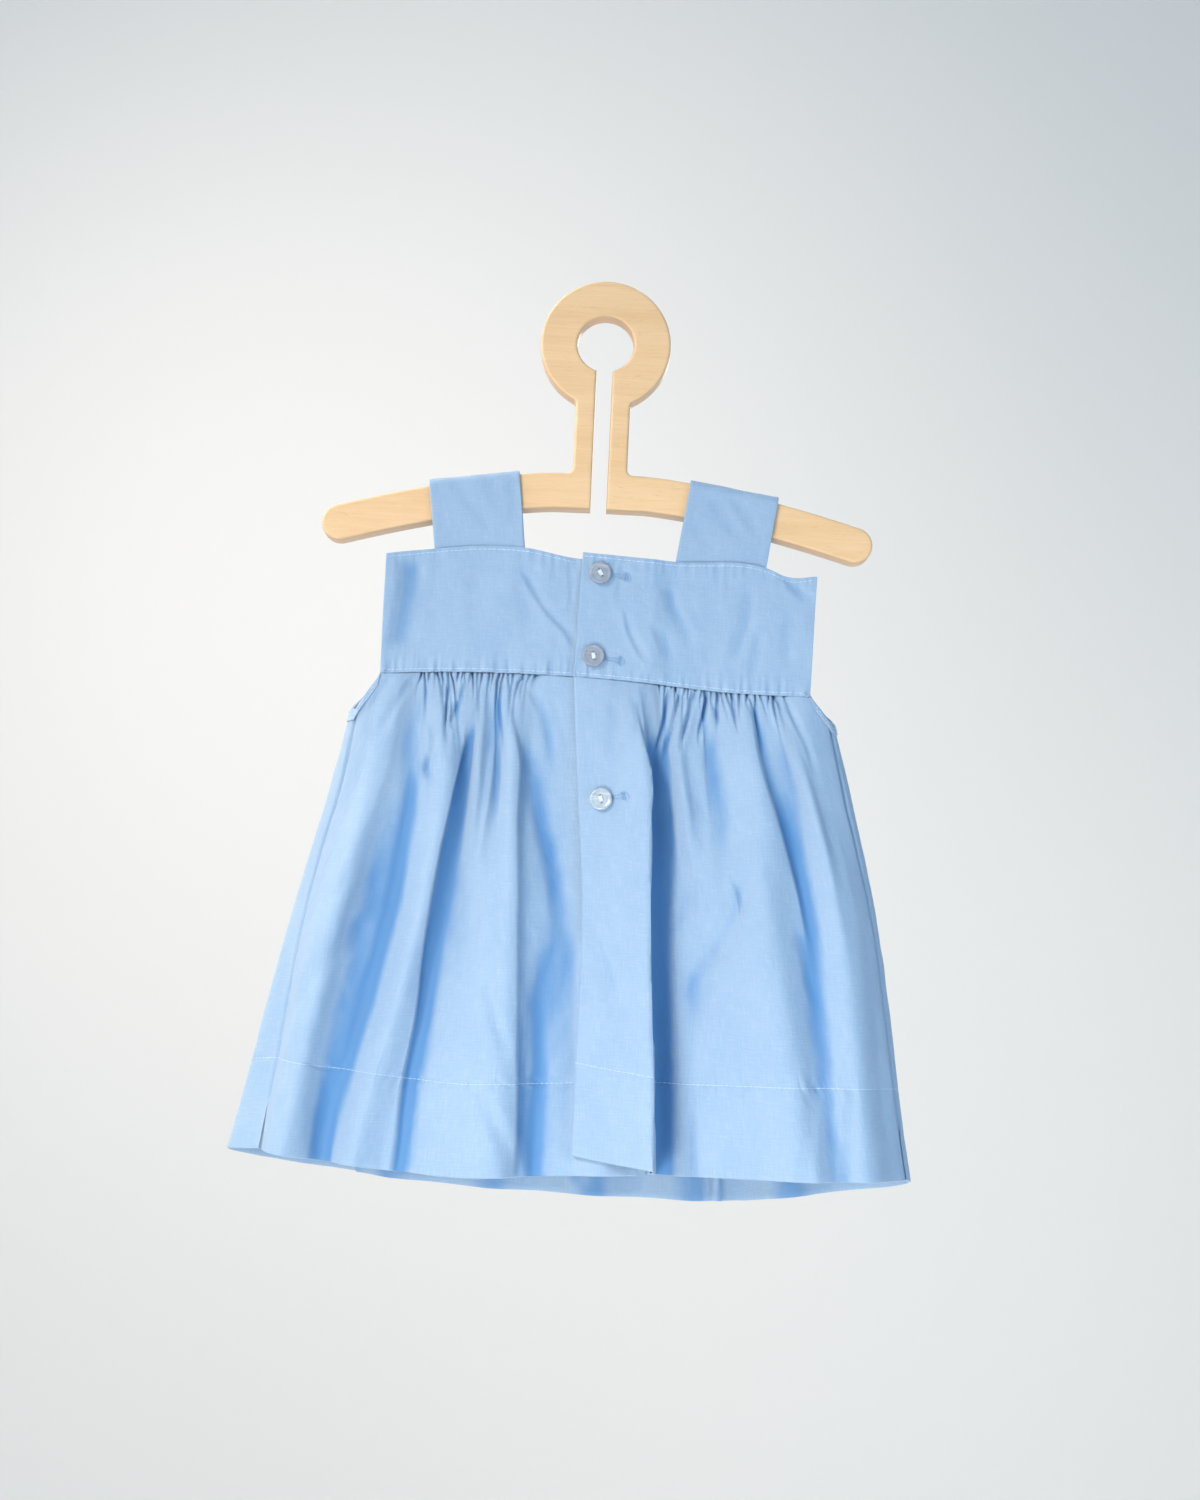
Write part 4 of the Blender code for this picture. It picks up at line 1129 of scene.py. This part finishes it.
def row_depth(number, t, row):
    """Depth of a row, how far the hem's own layer lies inside there, and the length of cloth to it."""
    top = skirt_top(number, t)
    hem = skirt_hem(number, t)
    hem_line = hem - HEM_HEIGHT
    kind, value = row
    if kind == "top":
        under_binding = ARMHOLE_EDGE + (value - GATHER_ROWS[0]) * 0.2
        if value < ARMHOLE_EDGE + 1:
            value = under_binding + (value - under_binding) * tucked(number, t)
        return top + value, 0.0, value
    if kind == "body":
        low = top + GATHER_ROWS[-1]
        depth = low + (hem_line + STITCH_ROWS[0] - low) * value
        return depth, 0.0, depth - top
    if kind == "stitch":
        return hem_line + value, 0.0, hem_line + value - top
    if kind == "hem":
        return hem_line + HEM_HEIGHT * value - HEM_SHORT, 0.0, hem_line + HEM_HEIGHT * value - top
    if kind == "fold":
        depth = hem - HEM_SHORT + HEM_TURN * math.sin(math.pi * value)
        return depth, SKIRT_THICKNESS + HEM_LAYER * value, hem - top + value
    return hem - HEM_HEIGHT * value, SKIRT_THICKNESS + HEM_LAYER, hem - top + 1 + HEM_HEIGHT * value


def make_panel(panel):
    """One gathered panel from its upper edge down to the hem and up again inside."""
    columns = panel_columns(panel)
    ends = [skirt_section(int(c), c % 1, FLAT_LEVEL)[0] for c in columns[:-1]]
    ends.append(skirt_section(int(columns[-1]) - 1, 1.0, FLAT_LEVEL)[0])
    widths = lengths_along(ends)
    flat_width = dict(zip(columns, widths))
    first = columns[0]
    last = columns[-1]
    open_left = panel.first == "lap_edge"
    open_right = panel.last == "under_edge"

    def column_place(column):
        if column == last:
            return int(last) - 1, 1.0
        return int(column), column % 1

    def point(column, row):
        number, t = column_place(column)
        depth, within, _ = row_depth(number, t, row)
        _, out, span = skirt_section(number, t, depth)
        inset = GAP / 2
        if panel.name == "skirt_front_left":
            inset += VENT_WIDTH * blend(VENT_TOP, LINES[number].hem, depth)
        from_first = (column - first) * span
        from_last = (last - column) * span
        if not open_left and number == int(first):
            t += (1 - t) * inset / span
        if not open_right and number == int(last) - 1:
            t -= t * GAP / 2 / span
        place = skirt_place(number, t, depth)
        roll = 0.0
        if not open_left and number == int(first):
            roll = 1 - blend(0, SEAM_ROLL_WIDTH, from_first)
        if not open_right and number == int(last) - 1:
            roll = max(roll, 1 - blend(0, SEAM_ROLL_WIDTH, from_last))
        inwards = roll * SEAM_ROLL * (depth < VENT_TOP or panel.name == "skirt_front_right") + within
        if open_left and number == int(first):
            inwards += LAP_ROLL * (1 - blend(0, LAP_ROLL_WIDTH, from_first)) ** 2
        return place - Vector((*(out * inwards), 0))

    def flat(column, row):
        number, t = column_place(column)
        return flat_width[column], row_depth(number, t, row)[2]

    sheet = cloth_sheet(panel.name + "_cloth", columns, panel_rows(), point, flat, SKIRT_THICKNESS)
    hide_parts(panel.name)
    length = LINES[NUMBER[panel.first]].hem - YOKE_SEAM[2].depth + HEM_HEIGHT
    length * MM


for panel in PANELS:
    make_panel(panel)


# Armhole bindings
# A narrow strip of poplin folded over the foot of each armhole and sewn flat on the skirt's
# outside with two rows of stitches.
BINDING_WIDTH = 6.2
BINDING_INSIDE = 4.5
BINDING_THICKNESS = 0.6
BINDING_MIDDLE = 0.35
BINDING_GAP = 0.12
BINDING_TURN = CLOTH / 2 + BINDING_GAP + BINDING_THICKNESS - BINDING_MIDDLE
BINDING_OUTSIDE_FROM = BINDING_INSIDE + math.pi * BINDING_TURN
BINDING_LENGTH = BINDING_OUTSIDE_FROM + BINDING_WIDTH - BINDING_TURN
BINDING_COLUMN = 1.4
BINDING_ROW = 0.7
BINDING_RIPPLE = 0.45

BINDINGS = [
    Panel("armhole_binding_right", "right_corner", "back_corner_right"),
    Panel("armhole_binding_left", "back_corner_left", "left_corner"),
]


def binding_point(column, run):
    """A point on the binding: run goes up its inside, over the fold and down its outside."""
    number, t = split(column)
    if run < BINDING_INSIDE:
        rise = -BINDING_TURN
        drop = BINDING_TURN + BINDING_INSIDE - run
    elif run < BINDING_OUTSIDE_FROM:
        angle = (run - BINDING_INSIDE) / BINDING_TURN
        rise = -BINDING_TURN * math.cos(angle)
        drop = BINDING_TURN * (1 - math.sin(angle))
    else:
        rise = BINDING_TURN
        drop = BINDING_TURN + run - BINDING_OUTSIDE_FROM
    depth = skirt_top(number, t) + drop
    middle, out, _ = skirt_section(number, t, depth)
    ripple = BINDING_RIPPLE * rough(column * 22, 4.0, 3) * blend(1, 4, drop) * (1 - blend(4, 7.5, drop))
    return Vector((*(middle + out * (BINDING_MIDDLE + rise + ripple)), -depth))


def column_steps(first, last, size):
    """Places from one line of the skirt to another, about that size apart at the top."""
    places = []
    for number in range(first, last):
        span = (line_point(number + 1, LEVELS[0]) - line_point(number, LEVELS[0])).length
        places += [number + share for share in steps(0, 1, size / span)[:-1]]
    return places + [last - 0.0001]


for panel in BINDINGS:
    columns = column_steps(NUMBER[panel.first], NUMBER[panel.last], BINDING_COLUMN)
    rows = steps(0, BINDING_LENGTH, BINDING_ROW)
    lengths = [0.0]
    area = 0.0
    for a, b in zip(columns, columns[1:]):
        apart = [binding_point(b, row) - binding_point(a, row) for row in rows]
        lengths.append(lengths[-1] + sum(span.length for span in apart) / len(rows))
        for row, below, span in zip(rows, rows[1:], apart):
            area += span.cross(binding_point(a, below) - binding_point(a, row)).length
    flat_length = dict(zip(columns, lengths))

    def flat(column, run, flat_length=flat_length):
        return flat_length[column], run

    sheet = cloth_sheet(
        panel.name + "_cloth",
        columns,
        rows,
        binding_point,
        flat,
        BINDING_THICKNESS,
    )
    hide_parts(panel.name)


# Sewing
# Pale blue cotton thread. A row of topstitches runs over each yoke's seam and edge, round the hem
# and along the bindings, and close bar tacks hold the yokes' lower corners.
THREAD_RADIUS = 0.15
STITCH_PITCH = 2.5
STITCH_LENGTH = 1.9
STITCH_SINK = 0.12
STITCH_RISE = 0.1
SEAM_STITCH_ABOVE = 1.7
EDGE_STITCH = 2.0
BINDING_STITCHES = (BINDING_LENGTH - 3.2, BINDING_LENGTH - 1.2)
PATH_STEP = 1.2
YOKE_STITCHED = ((0.01, 0.75), (0.01, 0.99), (0.01, 0.99))
HEM_STITCHED = ((0.02, 10.97), (11.03, 27.97), (28.03, 38.9))
HEM_PATH_STEP = 0.04
THREAD_PALE = (0.66, 0.79, 0.93, 1.0)
THREAD_SHADE = (0.46, 0.61, 0.82, 1.0)


def thread_finish(name, plies, edges, first, second, relief=0.0, **constants):
    """Twisted cotton thread in two tones, with so many plies in a metre."""
    finish = Finish(name, **constants)
    ply = finish.noise(finish.place(), (plies, plies, plies), 1.0)
    finish.wear(base_color=finish.mix(ply.step(*edges), first, second))
    if relief:
        finish.wear(normal=finish.bump(ply, relief))
    return finish.material


PLY_EDGES = (0.35, 0.65)
sewing_thread = thread_finish(
    "pale_sewing_thread",
    2600,
    PLY_EDGES,
    THREAD_PALE,
    THREAD_SHADE,
    relief=0.00005,
    roughness=0.7,
    sheen_weight=0.1,
)

def finished_mesh(thing):
    """A mesh of an object as its curve or its modifiers shape it."""
    bpy.context.view_layer.update()
    return bpy.data.meshes.new_from_object(thing.evaluated_get(bpy.context.evaluated_depsgraph_get()))


def threads(name, paths, radius, material):
    """Many short threads as one mesh, each a round tube along a path of points in mm."""
    curve = bpy.data.curves.new(name, "CURVE")
    curve.dimensions = "3D"
    curve.bevel_depth = radius * MM
    curve.bevel_resolution = 1
    curve.use_fill_caps = True
    for path in paths:
        spline = curve.splines.new("POLY")
        spline.points.add(len(path) - 1)
        for point, place in zip(spline.points, path):
            point.co = (*(Vector(place) * MM), 1.0)
    guide = new_object(name, curve)
    mesh = finished_mesh(guide)
    mesh.name = name
    bpy.data.objects.remove(guide)
    return put_in_scene(name, mesh, material)


def topstitches(path):
    """Short arched threads along a path of (point, direction out) pairs."""
    runs = lengths_along([point for point, _ in path])

    def at(run):
        k = max(n for n in range(len(runs) - 1) if runs[n] <= run)
        share = (run - runs[k]) / (runs[k + 1] - runs[k])
        point = path[k][0].lerp(path[k + 1][0], share)
        return point, path[k][1].lerp(path[k + 1][1], share).normalized()

    found = []
    for k in range(int((runs[-1] - STITCH_LENGTH) / STITCH_PITCH) + 1):
        stitch = []
        for share, rise in ((0, -STITCH_SINK), (0.25, STITCH_RISE), (0.75, STITCH_RISE), (1, -STITCH_SINK)):
            point, out = at(min(k * STITCH_PITCH + STITCH_LENGTH * share, runs[-1] - 0.001))
            stitch.append(point + out * rise)
        found.append(stitch)
    return found


def yoke_spot(yoke, across, down):
    """A point on the outside of a yoke, and the direction out of it there."""

    def point(a, d):
        return yoke_place(yoke, a, d)

    return point(across, down), outward(point, across, down, 0.003, 0.01)


def yoke_path(yoke, from_edge, first, last, upper):
    """A line along the yoke's upper or lower edge, that far in from it."""
    width = abs(yoke.right_top - yoke.left_top)
    path = []
    for across in steps(first, last, PATH_STEP / width):
        x = yoke.left_foot + (yoke.right_foot - yoke.left_foot) * across
        height = edge_depth(YOKE_SEAM, x) - edge_depth(yoke.top_edge, x)
        path.append(yoke_spot(yoke, across, from_edge / height if upper else 1 - from_edge / height))
    return path


def skirt_spot(column, depth, step_across, step_down):
    """A point on the outside of the skirt, and the direction out of it there."""

    def point(place, down):
        return skirt_place(*split(place), down)

    return point(column, depth), outward(point, column, depth, step_across, step_down)


def hem_path(first, last):
    """The line of the hem's stitches between two places round the skirt."""
    path = []
    for column in steps(first, last, HEM_PATH_STEP):
        path.append(skirt_spot(column, skirt_hem(*split(column)) - HEM_HEIGHT, 0.01, 0.3))
    return path


paths = []
for yoke, shown in zip(YOKES, YOKE_STITCHED):
    paths += topstitches(yoke_path(yoke, SEAM_STITCH_ABOVE, *shown, upper=False))
    paths += topstitches(yoke_path(yoke, EDGE_STITCH, *shown, upper=True))
threads("yoke_topstitches", paths, THREAD_RADIUS, sewing_thread)

paths = []
for first, last in HEM_STITCHED:
    paths += topstitches(hem_path(first, last))
threads("hem_stitches", paths, THREAD_RADIUS, sewing_thread)

paths = []
for panel in BINDINGS:
    for row in BINDING_STITCHES:
        path = []
        for column in column_steps(NUMBER[panel.first], NUMBER[panel.last], PATH_STEP)[1:-1]:
            out = outward(binding_point, column, row, 0.01, 0.3)
            path.append((binding_point(column, row), out))
        paths += topstitches(path)
threads("binding_stitches", paths, THREAD_RADIUS, sewing_thread)

TACK_LENGTH = 3.4
TACK_WIDTH = 1.5
TACK_PITCH = 0.42
TACK_THREAD_RADIUS = 0.2
TACK_RISE = 0.18

Tack = namedtuple("Tack", "yoke x above_foot turn")
TACKS = [
    Tack(1, 111.6, 1.2, 35.0),
    Tack(1, -6.6, 0.8, 0.0),
    Tack(0, -106.8, 1.2, -35.0),
    Tack(2, 111.4, 1.2, -30.0),
    Tack(2, -105.8, 1.2, 30.0),
]


def seam_spot(yoke, x, above_foot):
    """A point on the outside of a yoke that far above its foot, and the direction out of it there."""
    across = (x - yoke.left_foot) / (yoke.right_foot - yoke.left_foot)
    height = edge_depth(YOKE_SEAM, x) - edge_depth(yoke.top_edge, x)
    return yoke_spot(yoke, across, 1 - above_foot / height)


def bar_tack(middle, along, out):
    """A thread that crosses back and forth over a short line, lying on the cloth."""
    side = along.cross(out).normalized()
    path = []
    for k in range(round(TACK_LENGTH / TACK_PITCH) + 1):
        sway = TACK_WIDTH / 2 * (-1 if k % 2 else 1) * (1 + 0.2 * rough(k, 2.3, 8))
        path.append(middle + along * (k * TACK_PITCH - TACK_LENGTH / 2) + side * sway + out * TACK_RISE)
    return path


paths = []
for tack in TACKS:
    middle, out = seam_spot(YOKES[tack.yoke], tack.x, tack.above_foot)
    turn = math.radians(tack.turn)
    along = Vector((math.sin(turn), 0, -math.cos(turn)))
    paths.append(bar_tack(middle, along, out))
threads("bar_tacks", paths, TACK_THREAD_RADIUS, sewing_thread)


# Buttons
# Three round buttons with two holes, a dished middle and a raised rim, turned from grey shell.
# White thread holds each one to the front under it, through a worked buttonhole in the lap.
BUTTON_RADIUS = 5.75
BUTTON_THICKNESS = 2.2
BUTTON_DISH = 0.24
BUTTON_HOLE_RADIUS = 0.8
BUTTON_HOLE_SPACING = 2.9
BUTTON_SIDES = 72
BUTTON_HOLE_SIDES = 24
BUTTON_CREASE = math.radians(40)
BUTTON_LANES = (-0.6, -0.2, 0.2, 0.6)
BUTTON_THREAD_RADIUS = 0.24
BUTTON_THREAD_LIGHT = (0.80, 0.86, 0.89, 1.0)
BUTTON_THREAD_DEEP = (0.62, 0.70, 0.77, 1.0)
Button = namedtuple("Button", "name x depth turn pale")
BUTTONS = [
    Button("button_1", 2.8, 140.3, 62.0, 0.15),
    Button("button_2", 1.2, 184.1, 80.0, 0.0),
    Button("button_3", 8.7, 259.0, 75.0, 1.0),
]
SHELL_GREY = (0.27, 0.31, 0.38, 1.0)
SHELL_PALE = (0.42, 0.50, 0.58, 1.0)
SHELL_SHEEN = (0.66, 0.74, 0.74, 1.0)
SHELL_CLOUD = (260, 260, 420)
SHELL_LAYERS = (90, 90, 900)


def shell_finish(name, pale):
    """Cut shell: cloudy layers round the middle, and a polish."""
    shell = Finish(name, roughness=0.46 - 0.18 * pale, coat_weight=0.1 + 0.5 * pale, coat_roughness=0.2)
    cloud = shell.noise(shell.place(), SHELL_CLOUD, 4.0, 0.6)
    layers = shell.noise(shell.place(), SHELL_LAYERS, 2.0)
    base = tuple(g + (p - g) * pale for g, p in zip(SHELL_GREY, SHELL_PALE))
    tone = shell.mix(cloud.step(0.35, 0.7), base, tuple(c * 0.8 for c in base[:3]) + (1.0,))
    tone = shell.mix(layers.step(0.5, 0.75) * (0.25 + 0.35 * pale), tone, SHELL_SHEEN)
    shell.wear(base_color=tone, normal=shell.bump(cloud, 0.00006))
    return shell.material


def lap_point(x, depth):
    """A point on the outside of the lap, and the direction out of it."""
    if depth < edge_depth(YOKE_SEAM, x):
        return Vector((x, LAP_FRONT_Y - CLOTH / 2, -depth)), Vector((0, -1, 0))
    places = [k / 60 for k in range(121)]
    best = min(places, key=lambda place: abs(skirt_place(*split(place), depth).x - x))
    _, out = skirt_spot(max(best, 0.03), depth, 0.02, 1.0)
    return skirt_place(*split(best), depth), out


white_thread = thread_finish(
    "white_button_thread", 3000, (0.3, 0.7), BUTTON_THREAD_LIGHT, BUTTON_THREAD_DEEP, roughness=0.65
)

for button in BUTTONS:
    low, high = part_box(button.name)
    centre = (low + high) / 2
    _, normal = lap_point(button.x, button.depth)
    facing = (-normal).to_track_quat("Y", "Z").to_matrix().to_4x4()
    turned = Matrix.Translation(centre) @ facing @ Matrix.Rotation(math.radians(button.turn), 4, "Y")
    half = BUTTON_THICKNESS / 2
    profile = [
        (0.0, half),
        (BUTTON_RADIUS - 0.9, half),
        (BUTTON_RADIUS - 0.3, half - 0.25),
        (BUTTON_RADIUS, half - 0.8),
        (BUTTON_RADIUS, -half + 0.7),
        (BUTTON_RADIUS - 0.2, -half + 0.25),
        (BUTTON_RADIUS - 0.65, -half),
        (BUTTON_RADIUS - 1.15, -half + 0.05),
        (BUTTON_RADIUS - 1.7, -half + 0.3),
        (BUTTON_RADIUS - 2.4, -half + BUTTON_DISH),
        (0.0, -half + BUTTON_DISH),
    ]
    bm = bmesh.new()
    points = [bm.verts.new(Vector((r, y, 0)) * MM) for r, y in profile]
    sides = [bm.edges.new(pair) for pair in zip(points, points[1:])]
    bmesh.ops.spin(
        bm,
        geom=points + sides,
        cent=(0, 0, 0),
        axis=(0, 1, 0),
        angle=math.tau,
        steps=BUTTON_SIDES,
        use_merge=True,
    )
    bmesh.ops.remove_doubles(bm, verts=bm.verts[:], dist=MM / 1000)
    bmesh.ops.recalc_face_normals(bm, faces=bm.faces[:])
    name = button.name + "_shell"
    disc = put_in_scene(name, mesh_from(bm, name), shell_finish(button.name, button.pale))
    bm = bmesh.new()
    for side in (-1, 1):
        across = Matrix.Translation((side * BUTTON_HOLE_SPACING / 2 * MM, 0, 0))
        bmesh.ops.create_cone(
            bm,
            cap_ends=True,
            segments=BUTTON_HOLE_SIDES,
            radius1=BUTTON_HOLE_RADIUS * MM,
            radius2=BUTTON_HOLE_RADIUS * MM,
            depth=BUTTON_THICKNESS * 2 * MM,
            matrix=across @ Matrix.Rotation(math.radians(90), 4, "X"),
        )
    drill = new_object("drill", mesh_from(bm, "drill"))
    holes = disc.modifiers.new("holes", "BOOLEAN")
    holes.object = drill
    drilled = finished_mesh(disc)
    disc.modifiers.clear()
    disc.data = drilled
    bpy.data.objects.remove(drill)
    disc.data.transform(turned)
    disc.data.set_sharp_from_angle(angle=BUTTON_CREASE)
    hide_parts(button.name)

    strands = []
    reach = BUTTON_HOLE_SPACING / 2
    dished = -half + BUTTON_DISH
    for lane in BUTTON_LANES:
        arch = [
            (-reach, 0.4, lane * 0.8),
            (-reach, dished - 0.2, lane),
            (-reach * 0.8, dished - 0.45, lane * 1.2),
            (reach * 0.8, dished - 0.47, lane * 1.2),
            (reach, dished - 0.2, lane),
            (reach, 0.4, lane * 0.8),
        ]
        strands.append([turned @ (Vector(p) * MM) / MM for p in arch])
    threads(button.name + "_thread", strands, BUTTON_THREAD_RADIUS, white_thread)

# The buttonholes are slits in the lap, worked round in deeper blue thread that has begun to fray.
HOLE_RIM = 1.0
HOLE_RIM_RISE = (0.26, 0.12)
HOLE_PITCH = 0.36
HOLE_THREAD_RADIUS = 0.12
FRAYED = ((-80, 2.6), (-30, 4.0), (25, 3.4), (75, 2.6))
FRAYED_STEPS = 6
WORKED_DEEP = (0.14, 0.32, 0.60, 1.0)
WORKED_LIGHT = (0.30, 0.50, 0.76, 1.0)
Buttonhole = namedtuple("Buttonhole", "start end")
BUTTONHOLES = [
    Buttonhole((2.0, 140.3), (15.2, 141.5)),
    Buttonhole((0.4, 184.3), (15.0, 185.8)),
    Buttonhole((8.0, 258.6), (20.4, 256.8)),
]

worked_thread = thread_finish(
    "worked_blue_thread", 1800, PLY_EDGES, WORKED_DEEP, WORKED_LIGHT, roughness=0.75, sheen_weight=0.1
)


def on_lap(x, depth):
    """A point on the lap's outside as sewn, and the direction out of it."""
    seam = edge_depth(YOKE_SEAM, x)
    if depth < seam:
        return seam_spot(YOKES[1], x, seam - depth)
    return lap_point(x, depth)


paths = []
for hole in BUTTONHOLES:
    start = Vector(hole.start)
    end = Vector(hole.end)
    run = (end - start).length
    along = (end - start) / run
    for side in (-1, 1):
        rim = []
        for k in range(round(run / HOLE_PITCH)):
            widen = 0.35 + 0.9 * k * HOLE_PITCH / run
            reach = side * HOLE_RIM * widen * (0.6 if k % 2 else 1.0 + 0.25 * rough(k, 2.1, 6 + side))
            spot = start + along * (k * HOLE_PITCH) + Vector((-along.y, along.x)) * reach
            place, out = on_lap(*spot)
            rim.append(place + out * HOLE_RIM_RISE[k % 2])
        paths.append(rim)
    for k, (turn, reach) in enumerate(FRAYED):
        loose = []
        for step in range(FRAYED_STEPS + 1):
            share = step / FRAYED_STEPS
            angle = math.radians(turn * (1 - 0.5 * share) + 45 * math.sin(step * 1.1 + k))
            way = Matrix.Rotation(angle, 2) @ along
            spot = end - along * 1.6 + way * (reach * share)
            place, out = on_lap(*spot)
            loose.append(place + out * (0.2 + 0.4 * math.sin(math.pi * share)))
        paths.append(loose)
threads("buttonholes", paths, HOLE_THREAD_RADIUS, worked_thread)


# Stage
# A plain pale floor that glows faintly, and a plain pale wall well behind. Soft warm light comes
# from the upper left, and weaker light from below, from the right and from behind.
FLOOR_DROP = 1.2
WALL_BACK = 2.0
STAGE_SIZE = 12.0
STAGE_TONE = (0.83, 0.82, 0.79, 1.0)
FLOOR_GLOW_TONE = (1.0, 0.97, 0.93, 1.0)
FLOOR_GLOW = 0.3
MOTTLE_TONE = (0.80, 0.78, 0.75, 1.0)
SUN_WARM = (1.0, 0.94, 0.87)
LAMP_WARM = (1.0, 0.87, 0.77)
SHADE_BLUE = (0.5, 0.76, 1.0)
SKY_TONE = (0.58, 0.79, 1.0, 1.0)
SKY_STRENGTH = 0.5
BACKDROP_TONE = (0.83, 0.83, 0.82, 1.0)
MOTTLE = (2, 2, 2)
MOTTLE_SHARE = 0.2

for name, turn, place, glow in (
    ("floor", 0, (0, 0, -FLOOR_DROP), FLOOR_GLOW),
    ("wall", 90, (0, WALL_BACK, 0), 0.0),
):
    plaster = Finish("pale_" + name, roughness=0.95, emission_color=FLOOR_GLOW_TONE, emission_strength=glow)
    mottle = plaster.noise(plaster.place(), MOTTLE, 3.0)
    plaster.wear(base_color=plaster.mix(mottle * MOTTLE_SHARE, STAGE_TONE, MOTTLE_TONE))
    bm = bmesh.new()
    matrix = Matrix.Translation(place) @ Matrix.Rotation(math.radians(turn), 4, "X")
    bmesh.ops.create_grid(bm, x_segments=1, y_segments=1, size=STAGE_SIZE / 2, matrix=matrix)
    plane = new_object(name, mesh_from(bm, name))
    plane.data.materials.append(plaster.material)

# Places and sizes of the lamps in metres, power in watts, spread in degrees.
Lamp = namedtuple("Lamp", "name place aim size power tone spread")
LAMPS = [
    Lamp("key", (-1.15, -1.35, 0.65), (0.05, 0.0, -0.5), 0.6, 2.05, SUN_WARM, 50),
    Lamp("low_light", (-0.35, -0.95, -0.85), (0.12, 0.0, -0.48), 0.6, 1.8, SUN_WARM, 70),
    Lamp("right_fill", (1.3, -0.9, -0.55), (0.0, 0.0, -0.35), 0.8, 6.5, SHADE_BLUE, 180),
    Lamp("wall_lamp", (-0.7, 0.35, 0.5), (0.2, 2.0, -0.6), 1.4, 22.0, LAMP_WARM, 180),
    Lamp("back_light", (0.5, 1.7, 0.9), (0.5, 0.0, 0.9), 1.2, 18.0, LAMP_WARM, 180),
]
for lamp in LAMPS:
    light = bpy.data.lights.new(lamp.name, "AREA")
    light.shape = "DISK"
    light.size = lamp.size
    light.energy = lamp.power
    light.color = lamp.tone
    light.spread = math.radians(lamp.spread)
    fitting = new_object(lamp.name, light)
    fitting.visible_camera = False
    aim = (Vector(lamp.aim) - Vector(lamp.place)).to_track_quat("-Z", "Y").to_matrix().to_4x4()
    fitting.matrix_world = Matrix.Translation(lamp.place) @ aim

# The sky lights the part with blue, and behind the part it looks as pale as the stage.
world = bpy.data.worlds.new("sky")
world.use_nodes = True
sky_tree = world.node_tree
sky = sky_tree.nodes["Background"]
sky.inputs["Color"].default_value = SKY_TONE
sky.inputs["Strength"].default_value = SKY_STRENGTH
pale = sky_tree.nodes.new("ShaderNodeBackground")
pale.inputs["Color"].default_value = BACKDROP_TONE
ray = sky_tree.nodes.new("ShaderNodeLightPath")
either = sky_tree.nodes.new("ShaderNodeMixShader")
sky_tree.links.new(ray.outputs["Is Camera Ray"], either.inputs["Fac"])
sky_tree.links.new(sky.outputs["Background"], either.inputs[1])
sky_tree.links.new(pale.outputs["Background"], either.inputs[2])
sky_tree.links.new(either.outputs["Shader"], sky_tree.nodes["World Output"].inputs["Surface"])
bpy.context.scene.world = world
bpy.context.scene.view_settings.view_transform = "Standard"
